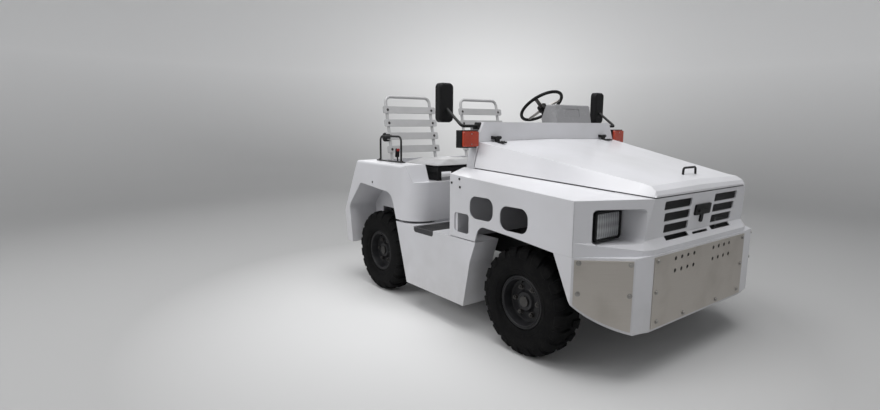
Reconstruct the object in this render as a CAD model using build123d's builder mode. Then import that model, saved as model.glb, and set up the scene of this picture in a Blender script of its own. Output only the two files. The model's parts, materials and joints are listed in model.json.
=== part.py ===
from build123d import *
import os
from math import cos, radians, sin, tan

# Airport luggage tow tractor: open two-seat driver's place in the middle, engine under a tapered hood
# at the front, wings over the rear wheels, tow hitch at the back.
# Millimetres. X forward, Y to the driver's left, Z up. The origin is on the ground, below the middle
# of the overall length. "Left" pieces are drawn, and the right ones are their mirror images.

os.makedirs("parts", exist_ok=True)

# Driving sizes of the whole machine
overall_width = 1650.0
wheelbase = 1433.0
front_overhang = 570.0
rear_body_overhang = 455.0
hitch_reach = 162.0
sheet = 8.0
running_gap = 5.0
seat_gap = 0.3
bearing_gap = 0.05

overall_length = front_overhang + wheelbase + rear_body_overhang + hitch_reach
half_width = overall_width / 2
front_end = overall_length / 2
rear_end = -overall_length / 2
front_axle_x = front_end - front_overhang
rear_axle_x = front_axle_x - wheelbase

# Wheels: a 6.50-10 industrial tyre on a ten-inch rim
tyre_radius = 295.0
tyre_width = 175.0
rim_radius = 127.0
rim_flange_radius = 146.0
rim_width = 140.0
lug_count = 20
lug_height = 16.0
lug_width = 42.0
hub_radius = 52.0
spindle_radius = 22.0
nut_count = 6
nut_circle_radius = 80.0
nut_radius = 14.0
nut_height = 16.0
wheel_side_gap = 31.0
wheel_y = half_width - wheel_side_gap - tyre_width / 2
axle_z = tyre_radius

# Heights of the body
body_seam_z = 583.0
panel_bottom_z = 573.0
skirt_top_z = 568.0
step_z = 555.0
sill_bottom_z = 165.0
tail_bottom_z = 308.0
deck_z = 845.0
wing_top_z = 956.0
bumper_top_z = 623.0
bumper_bottom_z = 240.0

# Stations along the length
seat_box_reach = 500.0
cowl_reach = 483.0
seat_box_x = rear_axle_x + seat_box_reach
cowl_face_x = front_axle_x - cowl_reach
pillar_x = cowl_face_x - 65.0
step_rear_x = seat_box_x + 8.0
step_front_x = cowl_face_x - 232.0
nose_x = front_end - 20.0
side_corner_x = front_end - 213.0
bumper_rear_x = front_axle_x + 244.0

# Hitch at the frame's end
hitch_plate_width = 400.0
hitch_plate_height = 240.0
hitch_gap = 30.0
jaw_z = 400.0

# Frame
kingpin_y = wheel_y - 146.5
rail_y = kingpin_y - 175.0
rail_width = 60.0
rail_height = 135.0
rail_wall = 8.0
rail_top_z = step_z - sheet
rail_bottom_z = rail_top_z - rail_height
frame_rear_x = rear_axle_x - rear_body_overhang + 40.0

# Hood and cowl
hood_rear_x = cowl_face_x + running_gap
hood_hinge_z = 1150.0
seam_rear_y = half_width - 125.0
seam_rear_z = 970.0
seam_front_y = half_width - 350.0
seam_front_z = 889.0
crease_rear_y = half_width - 165.0
crease_rear_z = 1125.0
crease_front_y = half_width - 385.0
crease_front_z = 954.0
hood_crown = 12.0
hood_nose_length = 97.0
hood_skin = 6.0
cowl_skin = 6.0
cowl_top_z = 1243.0
cowl_top_y = half_width - 203.0
cowl_mid_y = half_width - 151.0
cowl_mid_z = 1127.0
firewall_x = cowl_face_x - cowl_skin

# Steering
kingpin_radius = 14.0
steering_arm_length = 130.0
tie_pin_radius = 10.0
seat_y = half_width - 450.0
steering_wheel_radius = 180.0
steering_wheel_y = seat_y
steering_wheel_x = pillar_x - 377.0
steering_wheel_z = 1370.0
column_angle = 52.0

# Seats
slat_width = 495.0
slat_height = 54.0
slat_pitch = 100.0
slat_count = 4
back_rake = 11.6
cushion_thickness = 34.0
cushion_top_z = 982.0

TWO_SIDES = (("left", 1), ("right", -1))


def write_piece(piece, name):
    """Label one finished piece and write it to a file of its own."""
    piece.label = name
    export_step(piece, f"parts/{name}.step")


def write_pair(left_piece, name):
    """Write a left piece and its mirror image on the right as one node of separate solids."""
    right_piece = mirror(left_piece, about=Plane.XZ)
    write_piece(Compound([*left_piece.solids(), *right_piece.solids()]), name)


shoulder_rear_z = 941.0
shoulder_fall = 55.0


def seam_at(x):
    """Half width and height of the hood's lower edge at one station."""
    share = (x - hood_rear_x) / (nose_x - hood_rear_x)
    return (seam_rear_y + share * (seam_front_y - seam_rear_y),
            seam_rear_z + share * (seam_front_z - seam_rear_z))


def crease_at(x):
    """Half width and height of the hood's upper crease at one station."""
    share = (x - hood_rear_x) / (nose_x - hood_nose_length - hood_rear_x)
    return (crease_rear_y + share * (crease_front_y - crease_rear_y),
            crease_rear_z + share * (crease_front_z - crease_rear_z))


def shoulder_z(x):
    """Height of the front side panel's outer top edge at one station."""
    share = (x - pillar_x) / (side_corner_x - pillar_x)
    return shoulder_rear_z - share * shoulder_fall

# The rim's flanges: where their inner faces start at the barrel, and their edge
rim_half = rim_width / 2
flange_slope = 12.0
flange_edge = 6.0

# Tyre: forty flat-sided wedges round the wheel, each a slice of the carcass with one lug over its
# left or right shoulder by turns. Outlines are (radius, distance from the wheel's middle plane).
wedge_angle = 360.0 / (2 * lug_count)
carcass_radius = tyre_radius - lug_height
tyre_half = tyre_width / 2
shoulder_y = tyre_half - 19.0
flank_radius = rim_flange_radius + 42.0
side_radius = carcass_radius - 30.0
centre_groove = 6.0
HALF_CARCASS = [
    (rim_radius + seat_gap, rim_half - flange_slope - seat_gap),
    (rim_flange_radius + seat_gap, rim_half - flange_edge - seat_gap),
    (flank_radius, tyre_half),
    (side_radius, tyre_half - 2),
    (carcass_radius, shoulder_y),
]
LUG_OUTLINE = [
    (carcass_radius, centre_groove),
    (tyre_radius, centre_groove),
    (tyre_radius, shoulder_y - 6),
    (side_radius, tyre_half - 1),
    (carcass_radius, shoulder_y),
]


def tyre_wedge(side):
    """One wedge along +X, cut to its angle by two planes through the wheel's axis."""
    half_angle = radians(wedge_angle / 2)
    with BuildPart() as wedge:
        with BuildSketch(Plane.XY):
            with BuildLine():
                Polyline(*HALF_CARCASS, *[(r, -y) for r, y in reversed(HALF_CARCASS)], close=True)
            make_face()
        extrude(amount=lug_width, both=True)
        with BuildSketch(Plane.XY):
            with BuildLine():
                Polyline(*[(r, side * y) for r, y in LUG_OUTLINE], close=True)
            make_face()
        extrude(amount=lug_width / 2, both=True)
        for way in (1, -1):
            outward = (-sin(half_angle), 0, way * cos(half_angle))
            split(bisect_by=Plane(origin=(0, 0, 0), z_dir=outward), keep=Keep.BOTTOM)
    return wedge.part


left_wedge, right_wedge = tyre_wedge(1), tyre_wedge(-1)
with BuildPart() as tyre:
    add([
        wedge.rotate(Axis.Y, (2 * k + step) * wedge_angle)
        for k in range(lug_count)
        for step, wedge in ((0, left_wedge), (1, right_wedge))
    ])

# Rim: a stepped barrel, a recessed disc, the hub with its bore and the wheel nuts
disc_y = 18.0
disc_thickness = 10.0
hub_inner_y = -62.0
hub_outer_y = 40.0
with BuildPart() as rim:
    with BuildSketch(Plane.XY):
        with BuildLine():
            Polyline(
                (spindle_radius + bearing_gap, hub_inner_y),
                (hub_radius, hub_inner_y),
                (hub_radius, disc_y - disc_thickness),
                (rim_radius - 10, disc_y - disc_thickness),
                (rim_radius - 10, -rim_half),
                (rim_flange_radius, -rim_half),
                (rim_flange_radius, flange_edge - rim_half),
                (rim_radius, flange_slope - rim_half),
                (rim_radius, rim_half - flange_slope),
                (rim_flange_radius, rim_half - flange_edge),
                (rim_flange_radius, rim_half),
                (rim_radius - 8, rim_half),
                (rim_radius - 10, disc_y),
                (hub_radius, disc_y),
                (hub_radius - 8, hub_outer_y),
                (spindle_radius + bearing_gap, hub_outer_y),
                close=True,
            )
        make_face()
    revolve(axis=Axis.Y)
    with BuildSketch(Plane.XZ.offset(-disc_y)):
        with PolarLocations(nut_circle_radius, nut_count):
            RegularPolygon(nut_radius, 6)
    extrude(amount=-nut_height)

for side_name, side in TWO_SIDES:
    turn = Rot(0, 0, 0 if side > 0 else 180)
    for axle_name, x in (("front", front_axle_x), ("rear", rear_axle_x)):
        place = Pos(x, side * wheel_y, axle_z) * turn
        write_piece(place * tyre.part, f"tyre_{axle_name}_{side_name}")
        write_piece(place * rim.part, f"rim_{axle_name}_{side_name}")

# Front axle: a drop-forged beam with a bored boss at each kingpin
beam_height = 70.0
beam_depth = 76.0
boss_radius = 32.0
boss_height = 92.0
with BuildPart() as front_axle:
    with Locations((front_axle_x, 0, axle_z)):
        Box(beam_depth, 2 * kingpin_y, beam_height)
    with Locations((front_axle_x, kingpin_y, axle_z), (front_axle_x, -kingpin_y, axle_z)):
        Cylinder(boss_radius, boss_height)
    with Locations((front_axle_x, kingpin_y, axle_z), (front_axle_x, -kingpin_y, axle_z)):
        Cylinder(kingpin_radius + bearing_gap, boss_height, mode=Mode.SUBTRACT)
write_piece(front_axle.part, "front_axle")

# Steering knuckle: a fork round the axle boss, its kingpin, the spindle and the steering arm
ear_thickness = 22.0
ear_gap = 1.0
fork_web_y = kingpin_y + 45.0
fork_web_thickness = 20.0
fork_top_z = axle_z + boss_height / 2 + ear_gap
fork_bottom_z = axle_z - boss_height / 2 - ear_gap
arm_x = front_axle_x - steering_arm_length
ear_radius = 30.0
spindle_end_y = wheel_y + hub_outer_y - 4
with BuildPart() as knuckle:
    for z in (fork_top_z, fork_bottom_z - ear_thickness):
        with BuildSketch(Plane.XY.offset(z)):
            with Locations((front_axle_x, kingpin_y)):
                Circle(ear_radius)
            with Locations((front_axle_x, (kingpin_y + fork_web_y) / 2 + 5)):
                Rectangle(2 * ear_radius, fork_web_y - kingpin_y + 10)
        extrude(amount=ear_thickness)
    with Locations((front_axle_x, fork_web_y + fork_web_thickness / 2 - 5, axle_z)):
        Box(84, fork_web_thickness, fork_top_z - fork_bottom_z + 2 * ear_thickness)
    with BuildSketch(Plane.XY.offset(fork_bottom_z - ear_thickness)):
        with Locations((front_axle_x - steering_arm_length / 2, kingpin_y)):
            SlotCenterToCenter(steering_arm_length, 44)
    extrude(amount=ear_thickness)
    with Locations((front_axle_x, kingpin_y, axle_z)):
        Cylinder(kingpin_radius, fork_top_z - fork_bottom_z + 2 * ear_thickness)
    with BuildSketch(Plane.XZ.offset(-fork_web_y)):
        with Locations((front_axle_x, axle_z)):
            Circle(spindle_radius)
    extrude(amount=-(spindle_end_y - fork_web_y))
    with Locations((arm_x, kingpin_y, fork_bottom_z - ear_thickness / 2)):
        Cylinder(tie_pin_radius + bearing_gap, ear_thickness, mode=Mode.SUBTRACT)
write_piece(knuckle.part, "knuckle_left")
write_piece(mirror(knuckle.part, about=Plane.XZ), "knuckle_right")

# Tie rod below the steering arms, with a pin up into each arm
tie_rod_z = fork_bottom_z - ear_thickness - 26.0
tie_eye_height = 24.0
with BuildPart() as tie_rod:
    with BuildSketch(Plane.XZ.offset(kingpin_y)):
        with Locations((arm_x, tie_rod_z)):
            Circle(11)
    extrude(amount=-2 * kingpin_y)
    for side in (1, -1):
        with Locations((arm_x, side * kingpin_y, tie_rod_z)):
            Cylinder(20, tie_eye_height)
        with Locations((arm_x, side * kingpin_y, tie_rod_z)):
            Cylinder(tie_pin_radius, 26 + ear_thickness, align=(Align.CENTER, Align.CENTER, Align.MIN))
write_piece(tie_rod.part, "tie_rod")

# Rear axle: tubes, differential housing, brake drums and spindles
axle_tube_radius = 48.0
drum_radius = 104.0
drum_outer_y = wheel_y + hub_inner_y - 4
with BuildPart() as rear_axle:
    with BuildSketch(Plane.XZ):
        with Locations((rear_axle_x, axle_z)):
            Circle(axle_tube_radius)
    extrude(amount=drum_outer_y, both=True)
    with BuildSketch(Plane.YZ.offset(rear_axle_x)):
        with Locations((0, axle_z)):
            RegularPolygon(150, 8)
    extrude(amount=110, both=True, taper=20)
    for side in (1, -1):
        with BuildSketch(Plane.XZ.offset(-side * drum_outer_y)):
            with Locations((rear_axle_x, axle_z)):
                Circle(drum_radius)
        extrude(amount=side * 52)
        with BuildSketch(Plane.XZ.offset(-side * drum_outer_y)):
            with Locations((rear_axle_x, axle_z)):
                Circle(spindle_radius)
        extrude(amount=-side * (spindle_end_y - drum_outer_y))
write_piece(rear_axle.part, "rear_axle")

# Leaf springs: stepped stacks of arched leaves between axle and rail, one pair an axle
leaf_width = 56.0
leaf_thickness = 9.0
spring_eye_z = rail_bottom_z - 22.0
spring_half = 340.0
LEAF_HALF_LENGTHS = (spring_half, 260.0, 180.0)


def leaf_stack(axle_x, seat_z):
    """Three arched leaves on the axle, the longest on top with an eye at each end under the rail."""
    rise = spring_eye_z - (seat_z + 3 * leaf_thickness)
    arc_radius = (spring_half ** 2 + rise ** 2) / (2 * rise)
    top_z = seat_z + 3 * leaf_thickness
    with BuildPart() as stack:
        for level, half in enumerate(LEAF_HALF_LENGTHS):
            outer = arc_radius + level * leaf_thickness
            reach = half / arc_radius
            centre_z = top_z + arc_radius
            with BuildSketch(Plane.XZ):
                with BuildLine():
                    upper = ThreePointArc(
                        (axle_x - outer * sin(reach), centre_z - outer * cos(reach)),
                        (axle_x, centre_z - outer),
                        (axle_x + outer * sin(reach), centre_z - outer * cos(reach)),
                    )
                    lower_radius = outer + leaf_thickness
                    lower = ThreePointArc(
                        (axle_x - lower_radius * sin(reach), centre_z - lower_radius * cos(reach)),
                        (axle_x, centre_z - lower_radius),
                        (axle_x + lower_radius * sin(reach), centre_z - lower_radius * cos(reach)),
                    )
                    Line(upper @ 0, lower @ 0)
                    Line(upper @ 1, lower @ 1)
                make_face()
            extrude(amount=leaf_width / 2, both=True)
        reach = spring_half / arc_radius
        eye_x = (arc_radius + leaf_thickness / 2) * sin(reach)
        eye_z = top_z + arc_radius - (arc_radius + leaf_thickness / 2) * cos(reach)
        for way in (1, -1):
            with BuildSketch(Plane.XZ):
                with Locations((axle_x + way * eye_x, eye_z)):
                    Circle(15)
            extrude(amount=leaf_width / 2, both=True)
            with Locations((axle_x + way * eye_x, 0, (eye_z + rail_bottom_z) / 2)):
                Box(26, leaf_width - 16, rail_bottom_z - eye_z)
    return stack.part


spring_stacks = [
    Pos(0, side * rail_y, 0) * leaf_stack(x, seat_z)
    for side in (1, -1)
    for x, seat_z in ((front_axle_x, axle_z + beam_height / 2), (rear_axle_x, axle_z + axle_tube_radius))
]
write_piece(Compound([stack.solid() for stack in spring_stacks]), "leaf_springs")

# Frame: two channel rails and cross members, level with the floor's underside
frame_front_x = nose_x - 60.0
cross_member_depth = 20.0
cross_member_height = 90.0
engine_front_x = front_axle_x + 320.0
engine_rear_x = front_axle_x - 320.0
gearbox_length = 440.0
gearbox_rear_x = engine_rear_x - gearbox_length
CROSS_MEMBER_STATIONS = (
    frame_rear_x + cross_member_depth / 2,
    rear_axle_x + 380.0,
    gearbox_rear_x - cross_member_depth / 2,
    frame_front_x - cross_member_depth / 2,
)
with BuildPart() as frame_rails:
    for side in (1, -1):
        with BuildSketch(Plane.YZ.offset(frame_rear_x)):
            with Locations((side * rail_y, rail_bottom_z + rail_height / 2)):
                Rectangle(rail_width, rail_height)
            with Locations((side * (rail_y - rail_wall), rail_bottom_z + rail_height / 2)):
                Rectangle(rail_width, rail_height - 2 * rail_wall, mode=Mode.SUBTRACT)
        extrude(amount=frame_front_x - frame_rear_x)
    for x in CROSS_MEMBER_STATIONS:
        with Locations((x, 0, rail_top_z - cross_member_height / 2)):
            Box(cross_member_depth, 2 * (rail_y + rail_width / 2 - rail_wall), cross_member_height)
write_piece(frame_rails.part, "frame_rails")

# Floor: a sunk step plate, the raised board in front of it, and the beam that carries the rear body
skirt_inner_y = half_width - 182.0
floor_rear_x = seat_box_x - 40.0
beam_rib = 30.0
with BuildPart() as floor_plate:
    with BuildSketch(Plane.XZ):
        with BuildLine():
            Polyline(
                (floor_rear_x, step_z - sheet),
                (step_front_x + sheet, step_z - sheet),
                (step_front_x + sheet, skirt_top_z - sheet),
                (cowl_face_x, skirt_top_z - sheet),
                (cowl_face_x, skirt_top_z),
                (step_front_x, skirt_top_z),
                (step_front_x, step_z),
                (step_rear_x, step_z),
                (step_rear_x, skirt_top_z),
                (floor_rear_x + beam_rib, skirt_top_z),
                (floor_rear_x + beam_rib, body_seam_z - seat_gap),
                (floor_rear_x, body_seam_z - seat_gap),
                close=True,
            )
        make_face()
    extrude(amount=skirt_inner_y, both=True)
write_piece(floor_plate.part, "floor_plate")

# Step mat: a rubber slab across the machine whose ends turn down over the skirts
mat_thickness = 5.0
mat_top_z = step_z + mat_thickness
flap_bottom_z = 530.0
flap_corner = 20.0


def mat_flap(grow):
    """The mat's turned-down left end, or the recess that takes it when grown by a gap."""
    with BuildPart() as flap:
        with BuildSketch(Plane.XZ.offset(-half_width)) as face:
            with Locations(((step_rear_x + step_front_x) / 2, (flap_bottom_z + mat_top_z) / 2)):
                Rectangle(
                    step_front_x - step_rear_x - 2 * seat_gap + 2 * grow, mat_top_z - flap_bottom_z + 2 * grow
                )
            fillet(face.vertices().group_by(Axis.Y)[0], flap_corner)
        extrude(amount=mat_thickness + grow)
    return flap.part


left_flap = mat_flap(0)
with BuildPart() as floor_mat:
    with Locations(((step_rear_x + step_front_x) / 2, 0, step_z + mat_thickness / 2)):
        Box(step_front_x - step_rear_x - 2 * seat_gap, overall_width, mat_thickness)
    add([left_flap, mirror(left_flap, about=Plane.XZ, mode=Mode.PRIVATE)])
write_piece(floor_mat.part, "floor_mat")

# Side skirt between the wheels: a pressed box, open towards the frame, sunk below the step mat
skirt_outline = [
    (rear_axle_x + 421.0, sill_bottom_z),
    (rear_axle_x + 293.0, skirt_top_z),
    (step_rear_x, skirt_top_z),
    (step_rear_x, step_z),
    (step_front_x, step_z),
    (step_front_x, skirt_top_z),
    (front_axle_x - 315.0, skirt_top_z),
    (front_axle_x - 361.0, 445.0),
    (front_axle_x - 417.0, sill_bottom_z),
]
with BuildPart() as skirt:
    with BuildSketch(Plane.XZ.offset(-half_width)):
        with BuildLine():
            Polyline(*skirt_outline, close=True)
        make_face()
    extrude(amount=half_width - skirt_inner_y)
    with BuildSketch(Plane.XZ.offset(sheet - half_width)):
        with BuildLine():
            Polyline(*skirt_outline, close=True)
        make_face()
        offset(amount=-sheet, kind=Kind.INTERSECTION, mode=Mode.REPLACE)
    extrude(amount=half_width - skirt_inner_y, mode=Mode.SUBTRACT)
    add(mat_flap(seat_gap), mode=Mode.SUBTRACT)
write_pair(skirt.part, "side_skirts")

# Rear body: a shell cut from one side outline, a sunk deck for the seats, wheelhouses in both wings
tail_front_x = rear_axle_x - 257.0
body_outline = [
    (rear_axle_x - 417.0, tail_bottom_z),
    (rear_axle_x - rear_body_overhang, 548.0),
    (rear_axle_x - 244.0, wing_top_z),
    (rear_axle_x + 402.0, wing_top_z),
    (rear_axle_x + 447.0, deck_z),
    (seat_box_x, deck_z),
    (seat_box_x, body_seam_z),
    (tail_front_x, body_seam_z),
    (tail_front_x, tail_bottom_z),
]
arch_low_z = 200.0
arch_outline = [
    (rear_axle_x - 320.0, arch_low_z),
    (rear_axle_x - 380.0, 596.0),
    (rear_axle_x - 197.0, 790.0),
    (rear_axle_x + 230.0, 754.0),
    (rear_axle_x + 293.0, body_seam_z),
    (rear_axle_x + 293.0, arch_low_z),
]
arch_rounds = (0.0, 60.0, 40.0, 85.0, 0.0, 0.0)
plan_corner = 150.0
wing_inner_y = half_width - 170.0
wheelhouse_inner_y = wheel_y - 116.5
wing_round = 18.0
tail_lip = 14.0


def body_block(shrink, depth_below):
    """The rear body's full outside form, or its hollow when shrunk by the sheet."""
    with BuildPart() as block:
        with BuildSketch(Plane.XZ):
            with BuildLine():
                Polyline(*body_outline, close=True)
            make_face()
            if shrink:
                offset(amount=-shrink, kind=Kind.INTERSECTION)
                with Locations(((tail_front_x + seat_box_x - shrink) / 2, body_seam_z)):
                    Rectangle(seat_box_x - shrink - tail_front_x, 2 * depth_below)
                hollow_rear_x = rear_axle_x - 417.0 + shrink + tail_lip
                with Locations(((hollow_rear_x + tail_front_x + depth_below) / 2, tail_bottom_z + 100.0)):
                    Rectangle(tail_front_x + depth_below - hollow_rear_x, 2 * (100.0 + depth_below))
        extrude(amount=half_width - shrink, both=True)
        fillet(block.edges().filter_by(Axis.X).group_by(Axis.Z)[-1], radius=wing_round - shrink)
        with BuildSketch(Plane.XY):
            with Locations((rear_axle_x, 0)):
                Rectangle(2 * (seat_box_x - shrink - rear_axle_x), 2 * (half_width - shrink))
            fillet(
                vertices().filter_by(lambda v: v.X > rear_axle_x).sort_by(Axis.X)[-2:],
                radius=plan_corner - shrink,
            )
        extrude(amount=1.5 * wing_top_z, mode=Mode.INTERSECT)
    return block.part


body_form = body_block(0, 0)
with BuildPart() as rear_body:
    add(body_form)
    add(body_block(sheet, 60.0), mode=Mode.SUBTRACT)
    # The wings' tops stay, and the middle drops to the seat deck
    well_rear_x = rear_axle_x - 230.0
    well_depth = wing_top_z - deck_z
    with Locations(((well_rear_x + seat_box_x) / 2 + sheet, 0, deck_z + well_depth)):
        Box(seat_box_x + 2 * sheet - well_rear_x, 2 * wing_inner_y, 2 * well_depth, mode=Mode.SUBTRACT)
    with Locations(((well_rear_x + seat_box_x - sheet) / 2, 0, deck_z - sheet / 2)):
        Box(seat_box_x - sheet - well_rear_x, 2 * (wing_inner_y + sheet), sheet)
    with Locations((well_rear_x - sheet / 2, 0, deck_z + well_depth / 2 - sheet)):
        Box(sheet, 2 * (wing_inner_y + sheet), well_depth + sheet)
    for side in (1, -1):
        wall_y = side * (wing_inner_y + sheet / 2)
        with Locations(((well_rear_x + seat_box_x) / 2, wall_y, deck_z + well_depth / 2)):
            Box(seat_box_x - well_rear_x, sheet, well_depth)
    # The sill flange that sits on the floor's beam
    with Locations((seat_box_x - 20.0, 0, body_seam_z + sheet / 2)):
        Box(40, 2 * (wheelhouse_inner_y - sheet), sheet)
    add(body_form, mode=Mode.INTERSECT)
    # Wheel arches through both side walls, and the wheelhouse liners behind them
    for side in (1, -1):
        with BuildSketch(Plane.XZ.offset(-side * (wheelhouse_inner_y - sheet))):
            with BuildLine():
                FilletPolyline(*arch_outline, radius=arch_rounds, close=True)
            make_face()
            offset(amount=sheet)
            with Locations((rear_axle_x, (tail_bottom_z + arch_low_z) / 2 - sheet)):
                Rectangle(overall_length, tail_bottom_z - arch_low_z + 2 * sheet, mode=Mode.SUBTRACT)
            with Locations(((tail_front_x + seat_box_x) / 2, body_seam_z / 2)):
                Rectangle(seat_box_x - tail_front_x, body_seam_z, mode=Mode.SUBTRACT)
        extrude(amount=-side * (half_width - wheelhouse_inner_y))
        with BuildSketch(Plane.XZ.offset(-side * wheelhouse_inner_y)):
            with BuildLine():
                FilletPolyline(*arch_outline, radius=arch_rounds, close=True)
            make_face()
        extrude(amount=-side * (half_width - wheelhouse_inner_y + sheet), mode=Mode.SUBTRACT)
    # Notch in the back wall for the hitch and the frame's end
    with Locations((rear_axle_x - rear_body_overhang + 15.0, 0, jaw_z)):
        Box(120, hitch_plate_width + 2 * hitch_gap, 1.5 * hitch_plate_height, mode=Mode.SUBTRACT)
write_piece(rear_body.part, "rear_body")

# Front side panel: outer skin and shoulder up to the hood's seam, wheel arch and three holes
front_arch = [
    (front_axle_x - 440.0, 300.0),
    (front_axle_x - 361.0, 445.0),
    (front_axle_x - 290.0, 668.0),
    (front_axle_x - 50.0, 652.0),
    (bumper_rear_x, bumper_top_z),
    (side_corner_x + 10.0, bumper_top_z),
    (side_corner_x + 10.0, 300.0),
]
front_arch_rounds = (0.0, 0.0, 60.0, 0.0, 0.0, 0.0, 0.0)
# Holes: middle from the front axle, height of the middle, width, height, corner radius
PANEL_HOLES = (
    (-440.0, 662.0, 128.0, 114.0, 18.0),
    (-273.0, 767.0, 190.0, 128.0, 48.0),
    (-23.0, 742.0, 200.0, 130.0, 50.0),
)


def flank_section(x, shrink, low_z):
    """Cross-section of the front flank at one station, between the outer skin and the hood's seam."""
    seam_y, seam_z = seam_at(x)
    top = shoulder_z(x)
    inner_y = seam_y - (1.0 if shrink else 0.0)
    return [
        (half_width - shrink, low_z),
        (half_width - shrink, top - shrink),
        (inner_y, seam_z - shrink),
        (inner_y, low_z),
    ]


with BuildPart() as front_panel:
    for shrink, mode in ((0, Mode.ADD), (sheet, Mode.SUBTRACT)):
        for x in (pillar_x, side_corner_x):
            with BuildSketch(Plane.YZ.offset(x)):
                with BuildLine():
                    Polyline(*flank_section(x, shrink, panel_bottom_z - shrink), close=True)
                make_face()
        loft(ruled=True, mode=mode)
    with BuildSketch(Plane.XZ.offset(-half_width - sheet)):
        with BuildLine():
            FilletPolyline(*front_arch, radius=front_arch_rounds, close=True)
        make_face()
    extrude(amount=half_width - seam_front_y, mode=Mode.SUBTRACT)
    for hole_x, hole_z, hole_width, hole_height, hole_corner in PANEL_HOLES:
        with BuildSketch(Plane.XZ.offset(-half_width - sheet)):
            with Locations((front_axle_x + hole_x, hole_z)):
                RectangleRounded(hole_width, hole_height, hole_corner)
        extrude(amount=4 * sheet, mode=Mode.SUBTRACT)
write_pair(front_panel.part, "front_side_panels")

# Nose panel: leaning middle face with slots, angled headlight faces with pockets, shoulder tops,
# and a lip above the bumper that steps out below them
slot_pitch = 59.0
slot_height = 44.0
slot_inner_y = 122.0
slot_rows = 4
first_slot_drop = 43.0
slot_corner = 7.0
nose_lean = radians(6.3)
lip_top_z = 690.0
lip_edge_z = 648.0
lip_x = nose_x + 12.0
nose_face = Plane(
    origin=(nose_x, 0, seam_front_z), x_dir=(0, 1, 0), z_dir=(cos(nose_lean), 0, -sin(nose_lean)),
)


def nose_face_x(z):
    """Where the leaning middle face lies at one height."""
    return nose_x - (seam_front_z - z) * tan(nose_lean)


def whole_plan(left_half):
    """All corners of a plan given by its left half, from the rear to the front."""
    return [*left_half, *[(x, -y) for x, y in reversed(left_half)]]


def plane_above(a, b, c):
    """The plane through three points, facing up."""
    normal = (b - a).cross(c - a).normalized()
    return Plane(origin=a, z_dir=normal if normal.Z > 0 else normal * -1)


def nose_block(shrink):
    """The nose's outside form, or its hollow when shrunk."""
    base_z = bumper_top_z - 4 * shrink
    rear_x = side_corner_x - 6 * shrink
    corner = (side_corner_x, half_width - 1.2 * shrink)
    front_y = seam_front_y - 0.5 * shrink
    seam_y, seam_z = seam_at(side_corner_x)
    upper_plan = [(rear_x, corner[1]), corner, (nose_x - shrink, front_y)]
    lip_plan = [(rear_x, corner[1]), corner, (lip_x - 18 - shrink, front_y + 62), (lip_x - shrink, front_y)]
    if not shrink:
        upper_plan, lip_plan = upper_plan[1:], lip_plan[1:]
    with BuildPart() as upper:
        with BuildSketch(Plane.XY.offset(base_z)):
            Polygon(*whole_plan(upper_plan), align=None)
        extrude(amount=seam_rear_z - base_z)
        split(bisect_by=nose_face.offset(-shrink), keep=Keep.BOTTOM)
        for side in (1, -1):
            split(bisect_by=plane_above(
                Vector(side_corner_x, side * half_width, shoulder_z(side_corner_x) - shrink),
                Vector(side_corner_x, side * seam_y, seam_z - shrink),
                Vector(nose_x, side * seam_front_y, seam_front_z - shrink),
            ), keep=Keep.BOTTOM)
    with BuildPart() as lip:
        with BuildSketch(Plane.XY.offset(base_z)):
            Polygon(*whole_plan(lip_plan), align=None)
        extrude(amount=lip_top_z - base_z)
        for side in (1, -1):
            back = Vector(side_corner_x, side * corner[1], lip_top_z)
            top = Vector(nose_face_x(lip_top_z) - shrink, side * (front_y + 30), lip_top_z)
            middle_top = Vector(top.X, 0, lip_top_z)
            edge = Vector(lip_x - 18 - shrink, side * (front_y + 62), lip_edge_z)
            front = Vector(lip_x - shrink, side * front_y, lip_edge_z)
            middle_front = Vector(front.X, 0, lip_edge_z)
            split(bisect_by=plane_above(back, top, edge), keep=Keep.BOTTOM)
            split(bisect_by=plane_above(top, edge, front), keep=Keep.BOTTOM)
            split(bisect_by=plane_above(middle_top, front, middle_front), keep=Keep.BOTTOM)
    return upper.part + lip.part


# Headlight pockets: a box behind each angled face, open to the front
lamp_y = half_width - 200.0
lamp_z = 760.0
pocket_wall = 4.0
pocket_width = 236.0
pocket_height = 165.0
pocket_corner = 22.0
pocket_back_x = side_corner_x + 3.0
nose_form = nose_block(0)
with BuildPart() as pockets:
    for side in (1, -1):
        with BuildSketch(Plane.YZ.offset(pocket_back_x)):
            with Locations((side * lamp_y, lamp_z)):
                RectangleRounded(pocket_width + 2 * pocket_wall, pocket_height + 2 * pocket_wall,
                                 pocket_corner + pocket_wall)
        extrude(amount=nose_x - pocket_back_x)
    add(nose_form, mode=Mode.INTERSECT)

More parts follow.
